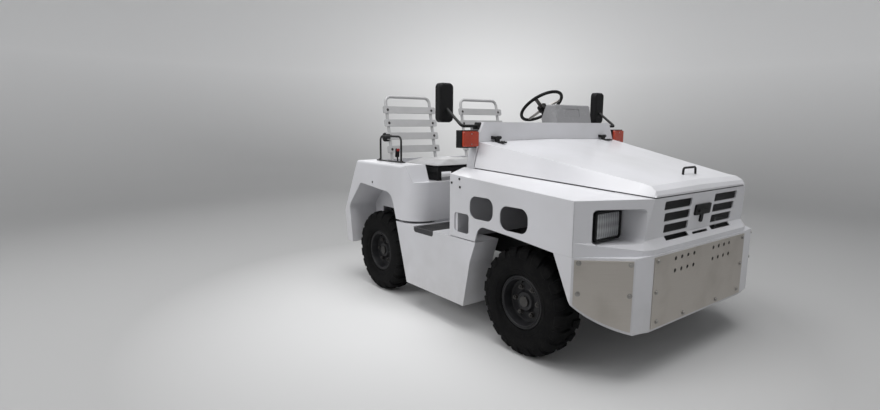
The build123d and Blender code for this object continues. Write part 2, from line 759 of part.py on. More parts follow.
with BuildPart() as nose_panel:
    add(nose_form)
    add(nose_block(sheet), mode=Mode.SUBTRACT)
    add(pockets.part)
    # Open above, between the seams, where the hood closes it
    rear_seam_y = seam_at(side_corner_x)[0]
    open_plan = [
        (side_corner_x - 1, rear_seam_y - sheet), (nose_x - 1.25 * sheet, seam_front_y - sheet),
    ]
    with BuildSketch(Plane.XY.offset(seam_front_z - 2 * sheet)):
        Polygon(*whole_plan(open_plan), align=None)
    extrude(amount=seam_rear_z - seam_front_z, mode=Mode.SUBTRACT)
    with Locations((nose_x, 0, seam_front_z)):
        Box(60, 2 * seam_front_y, 100, align=(Align.CENTER, Align.CENTER, Align.MIN), mode=Mode.SUBTRACT)
    for side in (1, -1):
        with BuildSketch(Plane.YZ.offset(pocket_back_x + pocket_wall)):
            with Locations((side * lamp_y, lamp_z)):
                RectangleRounded(pocket_width, pocket_height, pocket_corner)
        extrude(amount=front_end - pocket_back_x, mode=Mode.SUBTRACT)
    # Slots of the middle face: two columns of four rows, and one below the latch
    with BuildSketch(nose_face):
        for row in range(slot_rows):
            slot_outer_y = seam_front_y - 95.0 - row * 13.0
            with Locations(*[(side * (slot_inner_y + slot_outer_y) / 2, -first_slot_drop - row * slot_pitch)
                             for side in (1, -1)]):
                RectangleRounded(slot_outer_y - slot_inner_y, slot_height, slot_corner)
        with Locations((0, -first_slot_drop - 3.1 * slot_pitch)):
            RectangleRounded(160, slot_height - 8, slot_corner)
    extrude(amount=2 * sheet, both=True, mode=Mode.SUBTRACT)
write_piece(nose_panel.part, "nose_panel")

# Grille mesh behind the slots: expanded metal with diamond holes in two fields
mesh_thickness = 3.0
mesh_middle_drop = 140.0
diamond_width = 46.0
diamond_height = 23.0
mesh_bar = 5.0
diamond_column_count = 5
diamond_row_count = 8
with BuildPart() as grille_mesh:
    with BuildSketch(nose_face.offset(-sheet - mesh_thickness)):
        with Locations((0, -mesh_middle_drop)):
            Rectangle(2 * (seam_front_y - 75.0), 240.0)
        for side in (1, -1):
            for fewer in (0, 1):
                with Locations((side * (seam_front_y - 222.0), -mesh_middle_drop)):
                    with GridLocations(diamond_width + 2 * mesh_bar, diamond_height + mesh_bar,
                                       diamond_column_count - fewer, diamond_row_count - fewer):
                        Polygon(
                            (diamond_width / 2, 0), (0, diamond_height / 2), (-diamond_width / 2, 0),
                            (0, -diamond_height / 2), mode=Mode.SUBTRACT,
                        )
    extrude(amount=mesh_thickness)
write_piece(grille_mesh.part, "grille_mesh")

# Latch: a black plate with a stem and a raised grip on the nose's middle face
latch_width = 160.0
latch_height = 56.0
latch_drop = 91.0
stem_width = 26.0
stem_length = 42.0
with BuildPart() as hood_latch:
    with BuildSketch(nose_face):
        with Locations((0, -latch_drop)):
            RectangleRounded(latch_width, latch_height, 8)
        with Locations((0, -latch_drop - latch_height / 2 - stem_length / 2 + 5)):
            RectangleRounded(stem_width, stem_length + 10, 8)
    extrude(amount=9)
    with BuildSketch(nose_face.offset(9)):
        with Locations((0, -latch_drop - 6)):
            RectangleRounded(latch_width - 60, 22, 9)
    extrude(amount=7, taper=20)
write_piece(hood_latch.part, "hood_latch")

# Headlights: a sealed rectangular lamp and its box in each pocket
lamp_width = 200.0
lamp_height = 142.0
lamp_depth = 38.0
lamp_face_x = pocket_back_x + pocket_wall + lamp_depth
with BuildPart() as headlight:
    with BuildSketch(Plane.YZ.offset(lamp_face_x)):
        with Locations((lamp_y, lamp_z)):
            RectangleRounded(lamp_width, lamp_height, 18)
    extrude(amount=-lamp_depth, taper=8)
write_pair(headlight.part, "headlights")

# Front bumper: a thick cast band round the nose with chamfered corners and a top shelf
plate_thickness = 4.0
bumper_face_x = front_end - plate_thickness
bumper_wall = 25.0
bumper_corner_x = side_corner_x
bumper_chamfer_x = bumper_face_x - 13.0
bumper_chamfer_y = half_width - 220.0
bumper_front_y = half_width - 337.0
bumper_plan = [
    (bumper_rear_x, half_width),
    (bumper_corner_x, half_width),
    (bumper_chamfer_x, bumper_chamfer_y),
    (bumper_face_x, bumper_front_y),
]


# The bumper's lower edge: distance ahead of its side corner, height
edge_rear_rise = 629.0
BUMPER_EDGE = ((-13.0, 412.0), (80.0, 313.0), (201.0, bumper_bottom_z + 10.0))


def below_bumper(lift):
    """Everything below the bumper's lower edge, which curves up towards the wheel arch."""
    edge = [(bumper_corner_x + ahead, height + lift) for ahead, height in BUMPER_EDGE]
    with BuildPart() as below:
        with BuildSketch(Plane.XZ):
            with BuildLine():
                ThreePointArc(*edge)
                Polyline(
                    edge[2], (front_end, bumper_bottom_z + lift), (front_end, sill_bottom_z),
                    (frame_rear_x, sill_bottom_z), (frame_rear_x, edge_rear_rise + lift),
                    (bumper_rear_x, edge_rear_rise + lift), edge[0],
                )
            make_face()
        extrude(amount=overall_width, both=True)
    return below.part


with BuildPart() as front_bumper:
    with BuildSketch(Plane.XY.offset(bumper_bottom_z)):
        Polygon(*whole_plan(bumper_plan), align=None)
    extrude(amount=bumper_top_z - bumper_bottom_z)
    with BuildSketch(Plane.XY.offset(bumper_bottom_z)):
        Polygon(*whole_plan(bumper_plan), align=None)
        offset(amount=-bumper_wall, kind=Kind.INTERSECTION, mode=Mode.REPLACE)
        with Locations((bumper_rear_x, 0)):
            Rectangle(4 * bumper_wall, 2 * (half_width - bumper_wall))
    extrude(amount=bumper_top_z - bumper_bottom_z - sheet, mode=Mode.SUBTRACT)
    # The shelf is open behind the nose
    with Locations(((bumper_rear_x + side_corner_x) / 2 - 20, 0, bumper_top_z)):
        Box(side_corner_x - bumper_rear_x + 60, 2 * (half_width - bumper_wall), 60, mode=Mode.SUBTRACT)
    with Locations(((bumper_rear_x + frame_front_x) / 2, 0, bumper_top_z)):
        Box(frame_front_x - bumper_rear_x, 2 * (seam_front_y - 45.0), 60, mode=Mode.SUBTRACT)
    add(below_bumper(0), mode=Mode.SUBTRACT)
write_piece(front_bumper.part, "front_bumper")

# Stainless plates on the bumper's front and angled faces, short of its corners and lower edge
plate_margin = 12.0
tow_hole_radius = 11.0
tow_hole_pitch = (61.0, 62.0)
tow_hole_group_y = 195.0
tow_hole_z = 550.0
corner_start = Vector(bumper_corner_x, half_width, bumper_bottom_z)
corner_end = Vector(bumper_chamfer_x, bumper_chamfer_y, bumper_bottom_z)
along_corner = (corner_end - corner_start).normalized()
out_of_corner = Vector(-along_corner.Y, along_corner.X, 0)
if out_of_corner.X < 0:
    out_of_corner = out_of_corner * -1
with BuildPart() as bumper_plates:
    with BuildSketch(Plane.YZ.offset(bumper_face_x)):
        with Locations((0, (bumper_top_z + bumper_bottom_z) / 2)):
            Rectangle(2 * (bumper_front_y - plate_margin), bumper_top_z - bumper_bottom_z - 2 * plate_margin)
        for group in (1, -1):
            with Locations((group * tow_hole_group_y, tow_hole_z)):
                with GridLocations(*tow_hole_pitch, 4, 2):
                    Circle(tow_hole_radius, mode=Mode.SUBTRACT)
    extrude(amount=plate_thickness)
    corner_plan = [
        corner_start + along_corner * plate_margin,
        corner_end - along_corner * plate_margin,
        corner_end - along_corner * plate_margin + out_of_corner * plate_thickness,
        corner_start + along_corner * plate_margin + out_of_corner * plate_thickness,
    ]
    for side in (1, -1):
        with BuildSketch(Plane.XY.offset(bumper_bottom_z)):
            with BuildLine():
                Polyline(*[(p.X, side * p.Y) for p in corner_plan], close=True)
            make_face()
        extrude(amount=bumper_top_z - bumper_bottom_z - plate_margin)
    add(below_bumper(1.3 * plate_margin), mode=Mode.SUBTRACT)
write_piece(bumper_plates.part, "bumper_plates")

# Hood: lofted shell from the cowl to the nose, with its front rolled down
hood_roll_x = nose_x - hood_nose_length
hood_roll_angles = (35.0, 62.0, 85.0)
hood_edge_fold = 30.0


def hood_section(x, drop, shrink):
    """Half outline of the hood at one station; drop is the share of the crease height lost at the nose."""
    seam_y, seam_z = seam_at(x)
    crease_y, crease_z = crease_at(min(x, hood_roll_x))
    seam_z += running_gap
    seam_y -= 2.0
    top_z = seam_z + (crease_z - seam_z) * drop
    crease_y = seam_y - (seam_y - crease_y) * max(drop, 0.4)
    middle_z = top_z + hood_crown * drop
    if shrink:
        return [(seam_y - shrink, seam_z - hood_edge_fold), (seam_y - shrink, seam_z),
                (crease_y - shrink, top_z - shrink), (0, middle_z - shrink)]
    return [(seam_y, seam_z), (crease_y, top_z), (0, middle_z)]


def hood_block(shrink):
    """Ruled loft through the hood's stations, outside form or hollow."""
    stations = [(hood_rear_x - 3 * shrink, 1.0), (hood_roll_x, 1.0)]
    for angle in hood_roll_angles:
        x = hood_roll_x + (hood_nose_length - shrink) * sin(radians(angle))
        stations.append((x, max(cos(radians(angle)), 0.15)))
    with BuildPart() as block:
        for x, drop in stations:
            half = hood_section(x, drop, shrink)
            with BuildSketch(Plane.YZ.offset(x)):
                with BuildLine():
                    Polyline(*half, *[(-y, z) for y, z in reversed(half[:-1])], close=True)
                make_face()
        loft(ruled=True)
    return block.part


hood_form = hood_block(0)
with BuildPart() as hood:
    add(hood_form)
    add(hood_block(hood_skin), mode=Mode.SUBTRACT)
write_piece(hood.part, "hood")

# Hood handle: a bent rod near the nose
handle_x = front_axle_x + 430.0
handle_y = 55.0
handle_half = 68.0
handle_rod = 6.0
handle_foot_z = 950.0
handle_top_z = 1005.0
with BuildPart() as hood_handle:
    with BuildLine(Plane.YZ.offset(handle_x)) as handle_path:
        FilletPolyline(
            (handle_y - handle_half, handle_foot_z), (handle_y - handle_half + 4, handle_top_z),
            (handle_y + handle_half - 4, handle_top_z), (handle_y + handle_half, handle_foot_z), radius=14,
        )
    with BuildSketch(Plane(origin=handle_path.line @ 0, z_dir=handle_path.line % 0)):
        Circle(handle_rod)
    sweep()
    add(hood_form, mode=Mode.SUBTRACT)
write_piece(hood_handle.part, "hood_handle")

# Hinges: a fixed block with its pin on the cowl, and an eye plate on the hood
hinge_x = cowl_face_x + 16.0
hinge_y = crease_rear_y - 130.0
hinge_pin = 5.0
hinge_barrel = 9.0
hinge_eye_width = 36.0
hinge_block_width = 14.0
hinge_block_shift = 26.0
with BuildPart() as hinge_blocks:
    for side in (1, -1):
        for shift in (-hinge_block_shift, hinge_block_shift):
            with Locations(((cowl_face_x + hinge_x) / 2, side * hinge_y + shift, hood_hinge_z)):
                Box(hinge_x - cowl_face_x, hinge_block_width, 2 * hinge_barrel + 2)
            with Locations((hinge_x, side * hinge_y + shift, hood_hinge_z)):
                Cylinder(hinge_barrel, hinge_block_width, rotation=(90, 0, 0))
        with Locations((hinge_x, side * hinge_y, hood_hinge_z)):
            Cylinder(hinge_pin, 2 * hinge_block_shift + hinge_block_width, rotation=(90, 0, 0))
write_piece(hinge_blocks.part, "hinge_blocks")

with BuildPart() as hinge_eyes:
    crease_y, crease_z = crease_at(hinge_x + 30)
    leaf_z = crease_z + hood_crown * (1 - hinge_y / crease_y)
    for side in (1, -1):
        with Locations((hinge_x, side * hinge_y, hood_hinge_z)):
            Cylinder(hinge_barrel, hinge_eye_width, rotation=(90, 0, 0))
        with Locations((hinge_x + 35, side * hinge_y, leaf_z + 4)):
            Box(70, hinge_eye_width, 10)
        with Locations((hinge_x + 4, side * hinge_y, (hood_hinge_z + leaf_z) / 2)):
            Box(8, hinge_eye_width, hood_hinge_z - leaf_z)
        with Locations((hinge_x, side * hinge_y, hood_hinge_z)):
            Cylinder(hinge_pin + bearing_gap, hinge_eye_width, rotation=(90, 0, 0), mode=Mode.SUBTRACT)
    add(hood_form, mode=Mode.SUBTRACT)
write_piece(hinge_eyes.part, "hinge_eyes")

# Cowl: a deep pan, open to the driver, with the fire wall as its bottom
face_seam_y, face_seam_z = seam_at(cowl_face_x)
cowl_bottom_z = skirt_top_z + seat_gap
cowl_half = [
    (half_width - sheet - seat_gap, panel_bottom_z),
    (half_width - sheet - seat_gap, shoulder_z(cowl_face_x) - sheet - seat_gap),
    (face_seam_y - seat_gap, face_seam_z - sheet - seat_gap),
    (cowl_mid_y, cowl_mid_z),
    (cowl_top_y, cowl_top_z),
]
cowl_outline = [*cowl_half, *[(-y, z) for y, z in reversed(cowl_half)]]
cowl_outline = [(cowl_half[0][0], cowl_bottom_z), *cowl_outline[1:-1], (-cowl_half[0][0], cowl_bottom_z)]
with BuildPart() as cowl_block:
    with BuildSketch(Plane.YZ.offset(pillar_x)):
        with BuildLine():
            Polyline(*cowl_outline, close=True)
        make_face()
    extrude(amount=cowl_face_x - pillar_x)

with BuildPart() as cowl:
    add(cowl_block.part)
    with BuildSketch(Plane.YZ.offset(pillar_x)):
        with BuildLine():
            Polyline(*cowl_outline, close=True)
        make_face()
        offset(amount=-cowl_skin, kind=Kind.INTERSECTION)
        with Locations((0, cowl_bottom_z)):
            Rectangle(2 * (cowl_half[0][0] - cowl_skin), 4 * cowl_skin)
    extrude(amount=firewall_x - pillar_x, mode=Mode.SUBTRACT)
write_piece(cowl.part, "cowl")

# Steering column and the line it lies on, from the wheel down to the fire wall
column_lean = radians(column_angle)
column_axis = Vector(-cos(column_lean), 0, sin(column_lean))
wheel_centre = Vector(steering_wheel_x, steering_wheel_y, steering_wheel_z)
column_plane = Plane(origin=wheel_centre, z_dir=column_axis, x_dir=(0, 1, 0))
column_length = (firewall_x - steering_wheel_x) / cos(column_lean)
column_radius = 28.0
column_drop = 55.0
shaft_radius = 11.0
with BuildPart() as steering_column:
    with BuildSketch(column_plane.offset(-column_drop)):
        Circle(column_radius)
    extrude(amount=-column_length)
    with BuildSketch(column_plane.offset(-column_drop - 5)):
        Circle(shaft_radius)
    extrude(amount=column_drop + 5)
    split(bisect_by=Plane.YZ.offset(firewall_x), keep=Keep.BOTTOM)
write_piece(steering_column.part, "steering_column")

# Dashboard: the panel across the cowl's upper half, facing the driver
dash_depth = 70.0
dash_bottom_z = 985.0
with BuildPart() as dashboard:
    with BuildSketch(Plane.XZ):
        with BuildLine():
            Polyline(
                (pillar_x, cowl_top_z), (pillar_x - dash_depth, cowl_top_z - 30),
                (pillar_x - dash_depth + 12, dash_bottom_z), (pillar_x, dash_bottom_z), close=True,
            )
        make_face()
    extrude(amount=cowl_top_y - 10, both=True)
    with BuildSketch(column_plane.offset(-column_drop)):
        Circle(column_radius + seat_gap)
    extrude(amount=-column_length, mode=Mode.SUBTRACT)
write_piece(dashboard.part, "dashboard")

# Binnacle: a box on the cowl before the driver, with dials in a recess towards the driver and a
# shallow recessed panel towards the front
binnacle_width = 370.0
binnacle_y = seat_y - 140.0
binnacle_top_z = 1365.0
binnacle_round = 12.0
dial_recess = 9.0
dial_height = 5.0
panel_recess = 3.0
# Dials: distance to the left of the binnacle's middle, radius
DIALS = ((105.0, 34.0), (20.0, 34.0), (-52.0, 22.0), (-112.0, 22.0))
binnacle_rear_low = Vector(cowl_face_x - 150.0, binnacle_y, cowl_top_z + 25.0)
binnacle_rear_top = Vector(cowl_face_x - 110.0, binnacle_y, binnacle_top_z)
binnacle_front_low = Vector(cowl_face_x - 10.0, binnacle_y, cowl_top_z)
binnacle_front_top = Vector(cowl_face_x - 35.0, binnacle_y, binnacle_top_z)
rear_up = (binnacle_rear_top - binnacle_rear_low).normalized()
front_up = (binnacle_front_top - binnacle_front_low).normalized()
dial_face = Plane(
    origin=(binnacle_rear_low + binnacle_rear_top) * 0.5, x_dir=(0, 1, 0),
    z_dir=(-rear_up.Z, 0, rear_up.X),
)
front_face = Plane(
    origin=(binnacle_front_low + binnacle_front_top) * 0.5, x_dir=(0, 1, 0),
    z_dir=(front_up.Z, 0, -front_up.X),
)
with BuildPart() as binnacle:
    with BuildSketch(Plane.XZ.offset(-binnacle_y)):
        with BuildLine():
            Polyline(
                (binnacle_front_low.X, binnacle_front_low.Z), (binnacle_front_top.X, binnacle_top_z),
                (binnacle_rear_top.X, binnacle_top_z), (binnacle_rear_low.X, binnacle_rear_low.Z),
                (cowl_face_x - 140, cowl_top_z), close=True,
            )
        make_face()
    extrude(amount=binnacle_width / 2, both=True)
    fillet(binnacle.faces().sort_by(Axis.Z)[-1].edges(), binnacle_round)
    with BuildSketch(dial_face):
        RectangleRounded(binnacle_width - 44.0, 84.0, 14.0)
    extrude(amount=-dial_recess, mode=Mode.SUBTRACT)
    for across, radius in DIALS:
        with BuildSketch(dial_face.offset(-dial_recess)):
            with Locations((across, 0)):
                Circle(radius)
        extrude(amount=dial_height)
    with BuildSketch(front_face):
        with Locations((-18, 4)):
            RectangleRounded(165, 60, 6)
    extrude(amount=-panel_recess, mode=Mode.SUBTRACT)
write_piece(binnacle.part, "binnacle")

# Steering wheel: a ring on three spokes, its hub on the column's shaft
ring_radius = 12.0
wheel_hub_radius = 36.0
wheel_hub_height = 38.0
hub_drop = 24.0
with BuildPart() as steering_wheel:
    with BuildSketch(Plane(origin=wheel_centre + column_plane.x_dir * (steering_wheel_radius - ring_radius),
                           z_dir=column_plane.y_dir)):
        Circle(ring_radius)
    revolve(axis=Axis(wheel_centre, column_axis))
    with BuildSketch(column_plane.offset(-wheel_hub_height)):
        Circle(wheel_hub_radius)
    extrude(amount=wheel_hub_height)
    for spoke_turn in (90.0, 210.0, 330.0):
        spoke_dir = column_plane.x_dir.rotate(Axis((0, 0, 0), column_axis), spoke_turn)
        start = wheel_centre - column_axis * hub_drop + spoke_dir * 20
        end = wheel_centre + spoke_dir * (steering_wheel_radius - ring_radius)
        with BuildSketch(Plane(origin=start, z_dir=end - start, x_dir=column_axis)):
            RectangleRounded(10, 26, 4)
        extrude(amount=(end - start).length)
    with BuildSketch(column_plane.offset(-wheel_hub_height - ring_radius)):
        Circle(shaft_radius + bearing_gap)
    extrude(amount=wheel_hub_height + ring_radius + 1, mode=Mode.SUBTRACT)
write_piece(steering_wheel.part, "steering_wheel")

# Pedals: a ribbed pad on a bent arm from a foot on the fire wall, brake and throttle
pedal_hinge_z = skirt_top_z + 210.0
pedal_pad_z = skirt_top_z + 125.0
pedal_pad_x = firewall_x - 120.0
pedal_arm = 12.0
PEDALS = ((steering_wheel_y + 95.0, 80.0), (steering_wheel_y - 130.0, 60.0))
with BuildPart() as pedals:
    for pedal_y, pad_width in PEDALS:
        with Locations((firewall_x - 8, pedal_y, pedal_hinge_z)):
            Box(16, 40, 50)
        with BuildSketch(Plane.XZ.offset(-pedal_y)):
            with BuildLine():
                FilletPolyline(
                    (firewall_x - 8, pedal_hinge_z), (pedal_pad_x + 10, pedal_hinge_z),
                    (pedal_pad_x + 10, pedal_pad_z), radius=40,
                )
                offset(amount=pedal_arm / 2, side=Side.BOTH)
            make_face()
        extrude(amount=pedal_arm / 2, both=True)
        pad_plane = Plane(origin=(pedal_pad_x, pedal_y, pedal_pad_z), x_dir=(0, 1, 0), z_dir=(-0.94, 0, 0.34))
        with BuildSketch(pad_plane):
            RectangleRounded(pad_width, 64, 8)
        extrude(amount=-8)
        with BuildSketch(pad_plane):
            with GridLocations(0, 14, 1, 4):
                Rectangle(pad_width - 16, 5)
        extrude(amount=4)
write_piece(pedals.part, "pedals")

# Seats: base, cushion, and a slatted back on a tube hoop
seat_depth = 420.0
seat_front_x = seat_box_x - 8.0
cushion_bottom_z = cushion_top_z - cushion_thickness
pan_top_z = 937.0
pan_bottom_z = 909.0
runner_y = 190.0
with BuildPart() as seat_base:
    with Locations((seat_front_x - seat_depth / 2, seat_y, (pan_top_z + pan_bottom_z) / 2)):
        Box(seat_depth - 16, slat_width - 20, pan_top_z - pan_bottom_z)
    with Locations((seat_front_x - seat_depth / 2, seat_y, (pan_top_z + cushion_bottom_z) / 2)):
        Box(seat_depth - 70, slat_width - 80, cushion_bottom_z - pan_top_z)
    for y in (seat_y - runner_y, seat_y + runner_y):
        with Locations((seat_front_x - seat_depth / 2, y, (deck_z + pan_bottom_z) / 2)):
            Box(seat_depth - 90, 30, pan_bottom_z - deck_z)
write_pair(seat_base.part, "seat_bases")

with BuildPart() as seat_cushion:
    with BuildSketch(Plane.XY.offset(cushion_bottom_z + seat_gap)):
        with Locations((seat_front_x - seat_depth / 2, seat_y)):
            RectangleRounded(seat_depth, slat_width, 40)
    extrude(amount=cushion_thickness - seat_gap)
    fillet(seat_cushion.faces().sort_by(Axis.Z)[-1].edges(), 14)
write_pair(seat_cushion.part, "seat_cushions")

post_y = 208.0
tube_radius = 12.0
slat_thickness = 8.0
top_slat_z = 1333.0
slat_x = rear_axle_x - 187.0
hoop_z = top_slat_z + slat_height / 2 + 76.0
back_lean = radians(back_rake)
back_rise = 1 / cos(back_lean)
back_plane = Plane(
    origin=(slat_x - slat_thickness - tube_radius, seat_y, top_slat_z), x_dir=(0, 1, 0),
    z_dir=(cos(back_lean), 0, sin(back_lean)),
)
hoop_up = (hoop_z - top_slat_z) * back_rise
hoop_down = (top_slat_z - deck_z + 30.0) * back_rise
with BuildPart() as seat_back:
    with BuildLine(back_plane) as hoop_path:
        FilletPolyline(
            (-post_y, -hoop_down), (-post_y, hoop_up), (post_y, hoop_up), (post_y, -hoop_down), radius=45,
        )
    with BuildSketch(Plane(origin=hoop_path.line @ 0, z_dir=hoop_path.line % 0)):
        Circle(tube_radius)
    sweep()
    for k in range(slat_count):
        with BuildSketch(back_plane.offset(tube_radius - 2)):
            with Locations((0, -k * slat_pitch * back_rise)):
                RectangleRounded(slat_width, slat_height, 10)
        extrude(amount=slat_thickness)
    split(bisect_by=Plane.XY.offset(deck_z), keep=Keep.TOP)
write_pair(seat_back.part, "seat_backs")

# Arm guard: a tube hoop on a flat bar, on each wing
guard_y = half_width - 125.0
guard_rear_x = rear_axle_x - 107.0
guard_front_x = rear_axle_x + 172.0
guard_top_z = 1140.0
guard_tube = 7.0
guard_bar_width = 36.0
guard_bar_height = 8.0
guard_bar_reach = 28.0
with BuildPart() as arm_guard:
    with BuildLine(Plane.XZ.offset(-guard_y)) as guard_path:
        FilletPolyline(
            (guard_rear_x, wing_top_z), (guard_rear_x, guard_top_z), (guard_front_x, guard_top_z),
            (guard_front_x, wing_top_z), radius=35,
        )
    with BuildSketch(Plane(origin=guard_path.line @ 0, z_dir=guard_path.line % 0)):
        Circle(guard_tube)
    sweep()
    with Locations(((guard_rear_x + guard_front_x) / 2, guard_y, wing_top_z + guard_bar_height / 2)):
        Box(guard_front_x - guard_rear_x + 2 * guard_bar_reach, guard_bar_width, guard_bar_height)
write_pair(arm_guard.part, "arm_guards")

# Parking brake lever between the seats, leaning back from its box
lever_x = seat_box_x - 60.0
lever_box_height = 30.0
lever_length = 180.0
grip_length = 70.0
lever_plane = Plane(origin=(lever_x, 0, deck_z + lever_box_height), z_dir=(-0.3, 0, 1))
with BuildPart() as brake_lever:
    with Locations((lever_x, 0, deck_z + lever_box_height / 2)):
        Box(120, 60, lever_box_height)
    with BuildSketch(lever_plane.offset(-lever_box_height / 2)):
        Circle(8)
    extrude(amount=lever_length - grip_length + lever_box_height)
    with BuildSketch(lever_plane.offset(lever_length - grip_length)):
        Circle(15)
    extrude(amount=grip_length)
write_piece(brake_lever.part, "parking_brake_lever")

# Turn lamps on brackets at the cowl's sides
turn_lamp_y = half_width - 93.0
turn_lamp_z = 1144.0
turn_lamp_depth = 50.0
turn_lamp_x = cowl_face_x - turn_lamp_depth
lens_width = 115.0
lens_height = 92.0
with BuildPart() as turn_lamp_housing:
    with Locations((turn_lamp_x + turn_lamp_depth / 2, turn_lamp_y, turn_lamp_z)):
        Box(turn_lamp_depth, lens_width + 10, lens_height + 10)
    with Locations((turn_lamp_x + turn_lamp_depth / 2, turn_lamp_y - lens_width / 2, turn_lamp_z)):
        Box(turn_lamp_depth / 2, lens_width / 2, lens_height / 3)
    add(cowl_block.part, mode=Mode.SUBTRACT)
write_pair(turn_lamp_housing.part, "turn_lamp_housings")
with BuildPart() as turn_lamp_lens:
    with BuildSketch(Plane.YZ.offset(turn_lamp_x + turn_lamp_depth)):
        with Locations((turn_lamp_y, turn_lamp_z)):
            RectangleRounded(lens_width, lens_height, 10)
    extrude(amount=18, taper=10)
write_pair(turn_lamp_lens.part, "turn_lamp_lenses")

# Mirrors: a black head on a bent arm from the cowl
mirror_x = pillar_x - 143.0
mirror_y = half_width - 69.0
mirror_low_z = 1240.0
mirror_top_z = 1475.0
mirror_width = 108.0
mirror_depth = 48.0
arm_radius = 9.0
arm_foot_z = 1219.0
arm_foot_x = pillar_x + 20.0
arm_foot_size = (50.0, 12.0, 44.0)
cowl_side_slope = (cowl_mid_y - cowl_top_y) / (cowl_top_z - cowl_mid_z)
arm_foot_y = cowl_mid_y - (arm_foot_z - cowl_mid_z) * cowl_side_slope
with BuildPart() as mirror_head:
    with BuildSketch(Plane.YZ.offset(mirror_x - mirror_depth / 2)):
        with Locations((mirror_y, (mirror_low_z + mirror_top_z) / 2)):
            RectangleRounded(mirror_width, mirror_top_z - mirror_low_z, 30)
    extrude(amount=mirror_depth)
    fillet(mirror_head.faces().sort_by(Axis.X)[-1].edges(), 16)
write_pair(mirror_head.part, "mirror_heads")
with BuildPart() as mirror_arm:
    with BuildLine() as arm_path:
        FilletPolyline(
            (arm_foot_x, arm_foot_y + 6, arm_foot_z), (arm_foot_x, mirror_y, arm_foot_z),
            (mirror_x + mirror_depth / 2, mirror_y, arm_foot_z + 100), radius=20,
        )
    with BuildSketch(Plane(origin=arm_path.line @ 0, z_dir=arm_path.line % 0)):
        Circle(arm_radius)
    sweep()
    with Locations((arm_foot_x, arm_foot_y + 3, arm_foot_z)):
        Box(*arm_foot_size, rotation=(24, 0, 0))
    add(cowl_block.part, mode=Mode.SUBTRACT)
    add(mirror_head.part, mode=Mode.SUBTRACT)
write_pair(mirror_arm.part, "mirror_arms")

# Tail lamps on the slanted back
tail_lamp_y = half_width - 135.0
tail_lamp_z = 500.0
tail_lamp_depth = 30.0
with BuildPart() as tail_lamps:
    for side in (1, -1):
        with Locations((rear_axle_x - rear_body_overhang - 9, side * tail_lamp_y, tail_lamp_z)):
            Box(tail_lamp_depth, 170, 90)
    add(body_form, mode=Mode.SUBTRACT)
write_piece(tail_lamps.part, "tail_lamps")

# Rear hitch: a plate on the frame's end and a clevis with a pin bore
hitch_bore_radius = 16.0
hitch_plate_x = frame_rear_x - 20.0
jaw_thickness = 20.0
jaw_gap = 60.0
jaw_width = 120.0
hitch_bore_x = rear_end + jaw_width / 2
with BuildPart() as rear_hitch:
    with Locations(((hitch_plate_x + frame_rear_x) / 2, 0, jaw_z + 50.0)):
        Box(frame_rear_x - hitch_plate_x, hitch_plate_width, hitch_plate_height)
    for z in (jaw_z + jaw_gap / 2, jaw_z - jaw_gap / 2 - jaw_thickness):
        with BuildSketch(Plane.XY.offset(z)):
            with Locations((hitch_bore_x, 0)):
                Circle(jaw_width / 2)
            with Locations(((hitch_bore_x + hitch_plate_x) / 2, 0)):
                Rectangle(hitch_plate_x - hitch_bore_x, jaw_width)
            with Locations((hitch_bore_x, 0)):
                Circle(hitch_bore_radius, mode=Mode.SUBTRACT)
        extrude(amount=jaw_thickness)
write_piece(rear_hitch.part, "rear_hitch")

# Engine and gearbox as plain blocks, drive shaft, radiator
engine_width = 460.0
engine_height = 420.0
engine_z = 660.0
engine_foot_z = 520.0
gearbox_z = 445.0
gearbox_width = 240.0
gearbox_height = 190.0
yoke_length = 40.0
yoke_radius = 38.0
shaft_tube_radius = 26.0
radiator_depth = 70.0
radiator_width = 620.0
radiator_height = 330.0
radiator_z = 700.0
with BuildPart() as engine:
    with Locations(((engine_front_x + engine_rear_x) / 2, 0, engine_z)):
        Box(engine_front_x - engine_rear_x, engine_width, engine_height)
    with Locations((engine_rear_x + 120, 0, engine_foot_z), (engine_front_x - 120, 0, engine_foot_z)):
        Box(70, 2 * (rail_y + rail_width / 2 - rail_wall), 24)
write_piece(engine.part, "engine_block")
with BuildPart() as gearbox:
    with Locations(((engine_rear_x + gearbox_rear_x) / 2, 0, gearbox_z)):
        Box(gearbox_length, gearbox_width, gearbox_height)
write_piece(gearbox.part, "gearbox")
with BuildPart() as drive_shaft:
    shaft_start = Vector(gearbox_rear_x - yoke_length / 2, 0, gearbox_z - 35.0)
    shaft_end = Vector(rear_axle_x + 110.0 + yoke_length / 2, 0, axle_z)
    for end in (shaft_start, shaft_end):
        with Locations(end):
            Cylinder(yoke_radius, yoke_length, rotation=(0, 90, 0))
    with BuildSketch(Plane(origin=shaft_start, z_dir=shaft_end - shaft_start)):
        Circle(shaft_tube_radius)
    extrude(amount=(shaft_end - shaft_start).length)
write_piece(drive_shaft.part, "drive_shaft")
with BuildPart() as radiator:
    with Locations((frame_front_x - cross_member_depth, 0, radiator_z)):
        Box(radiator_depth, radiator_width, radiator_height, align=(Align.MAX, Align.CENTER, Align.CENTER))
write_piece(radiator.part, "radiator")
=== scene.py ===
"""Looks of the luggage tow tractor, in metres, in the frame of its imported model."""
import json
from math import cos, pi, radians, sin

import bmesh
import bpy
from mathutils import Matrix, Vector


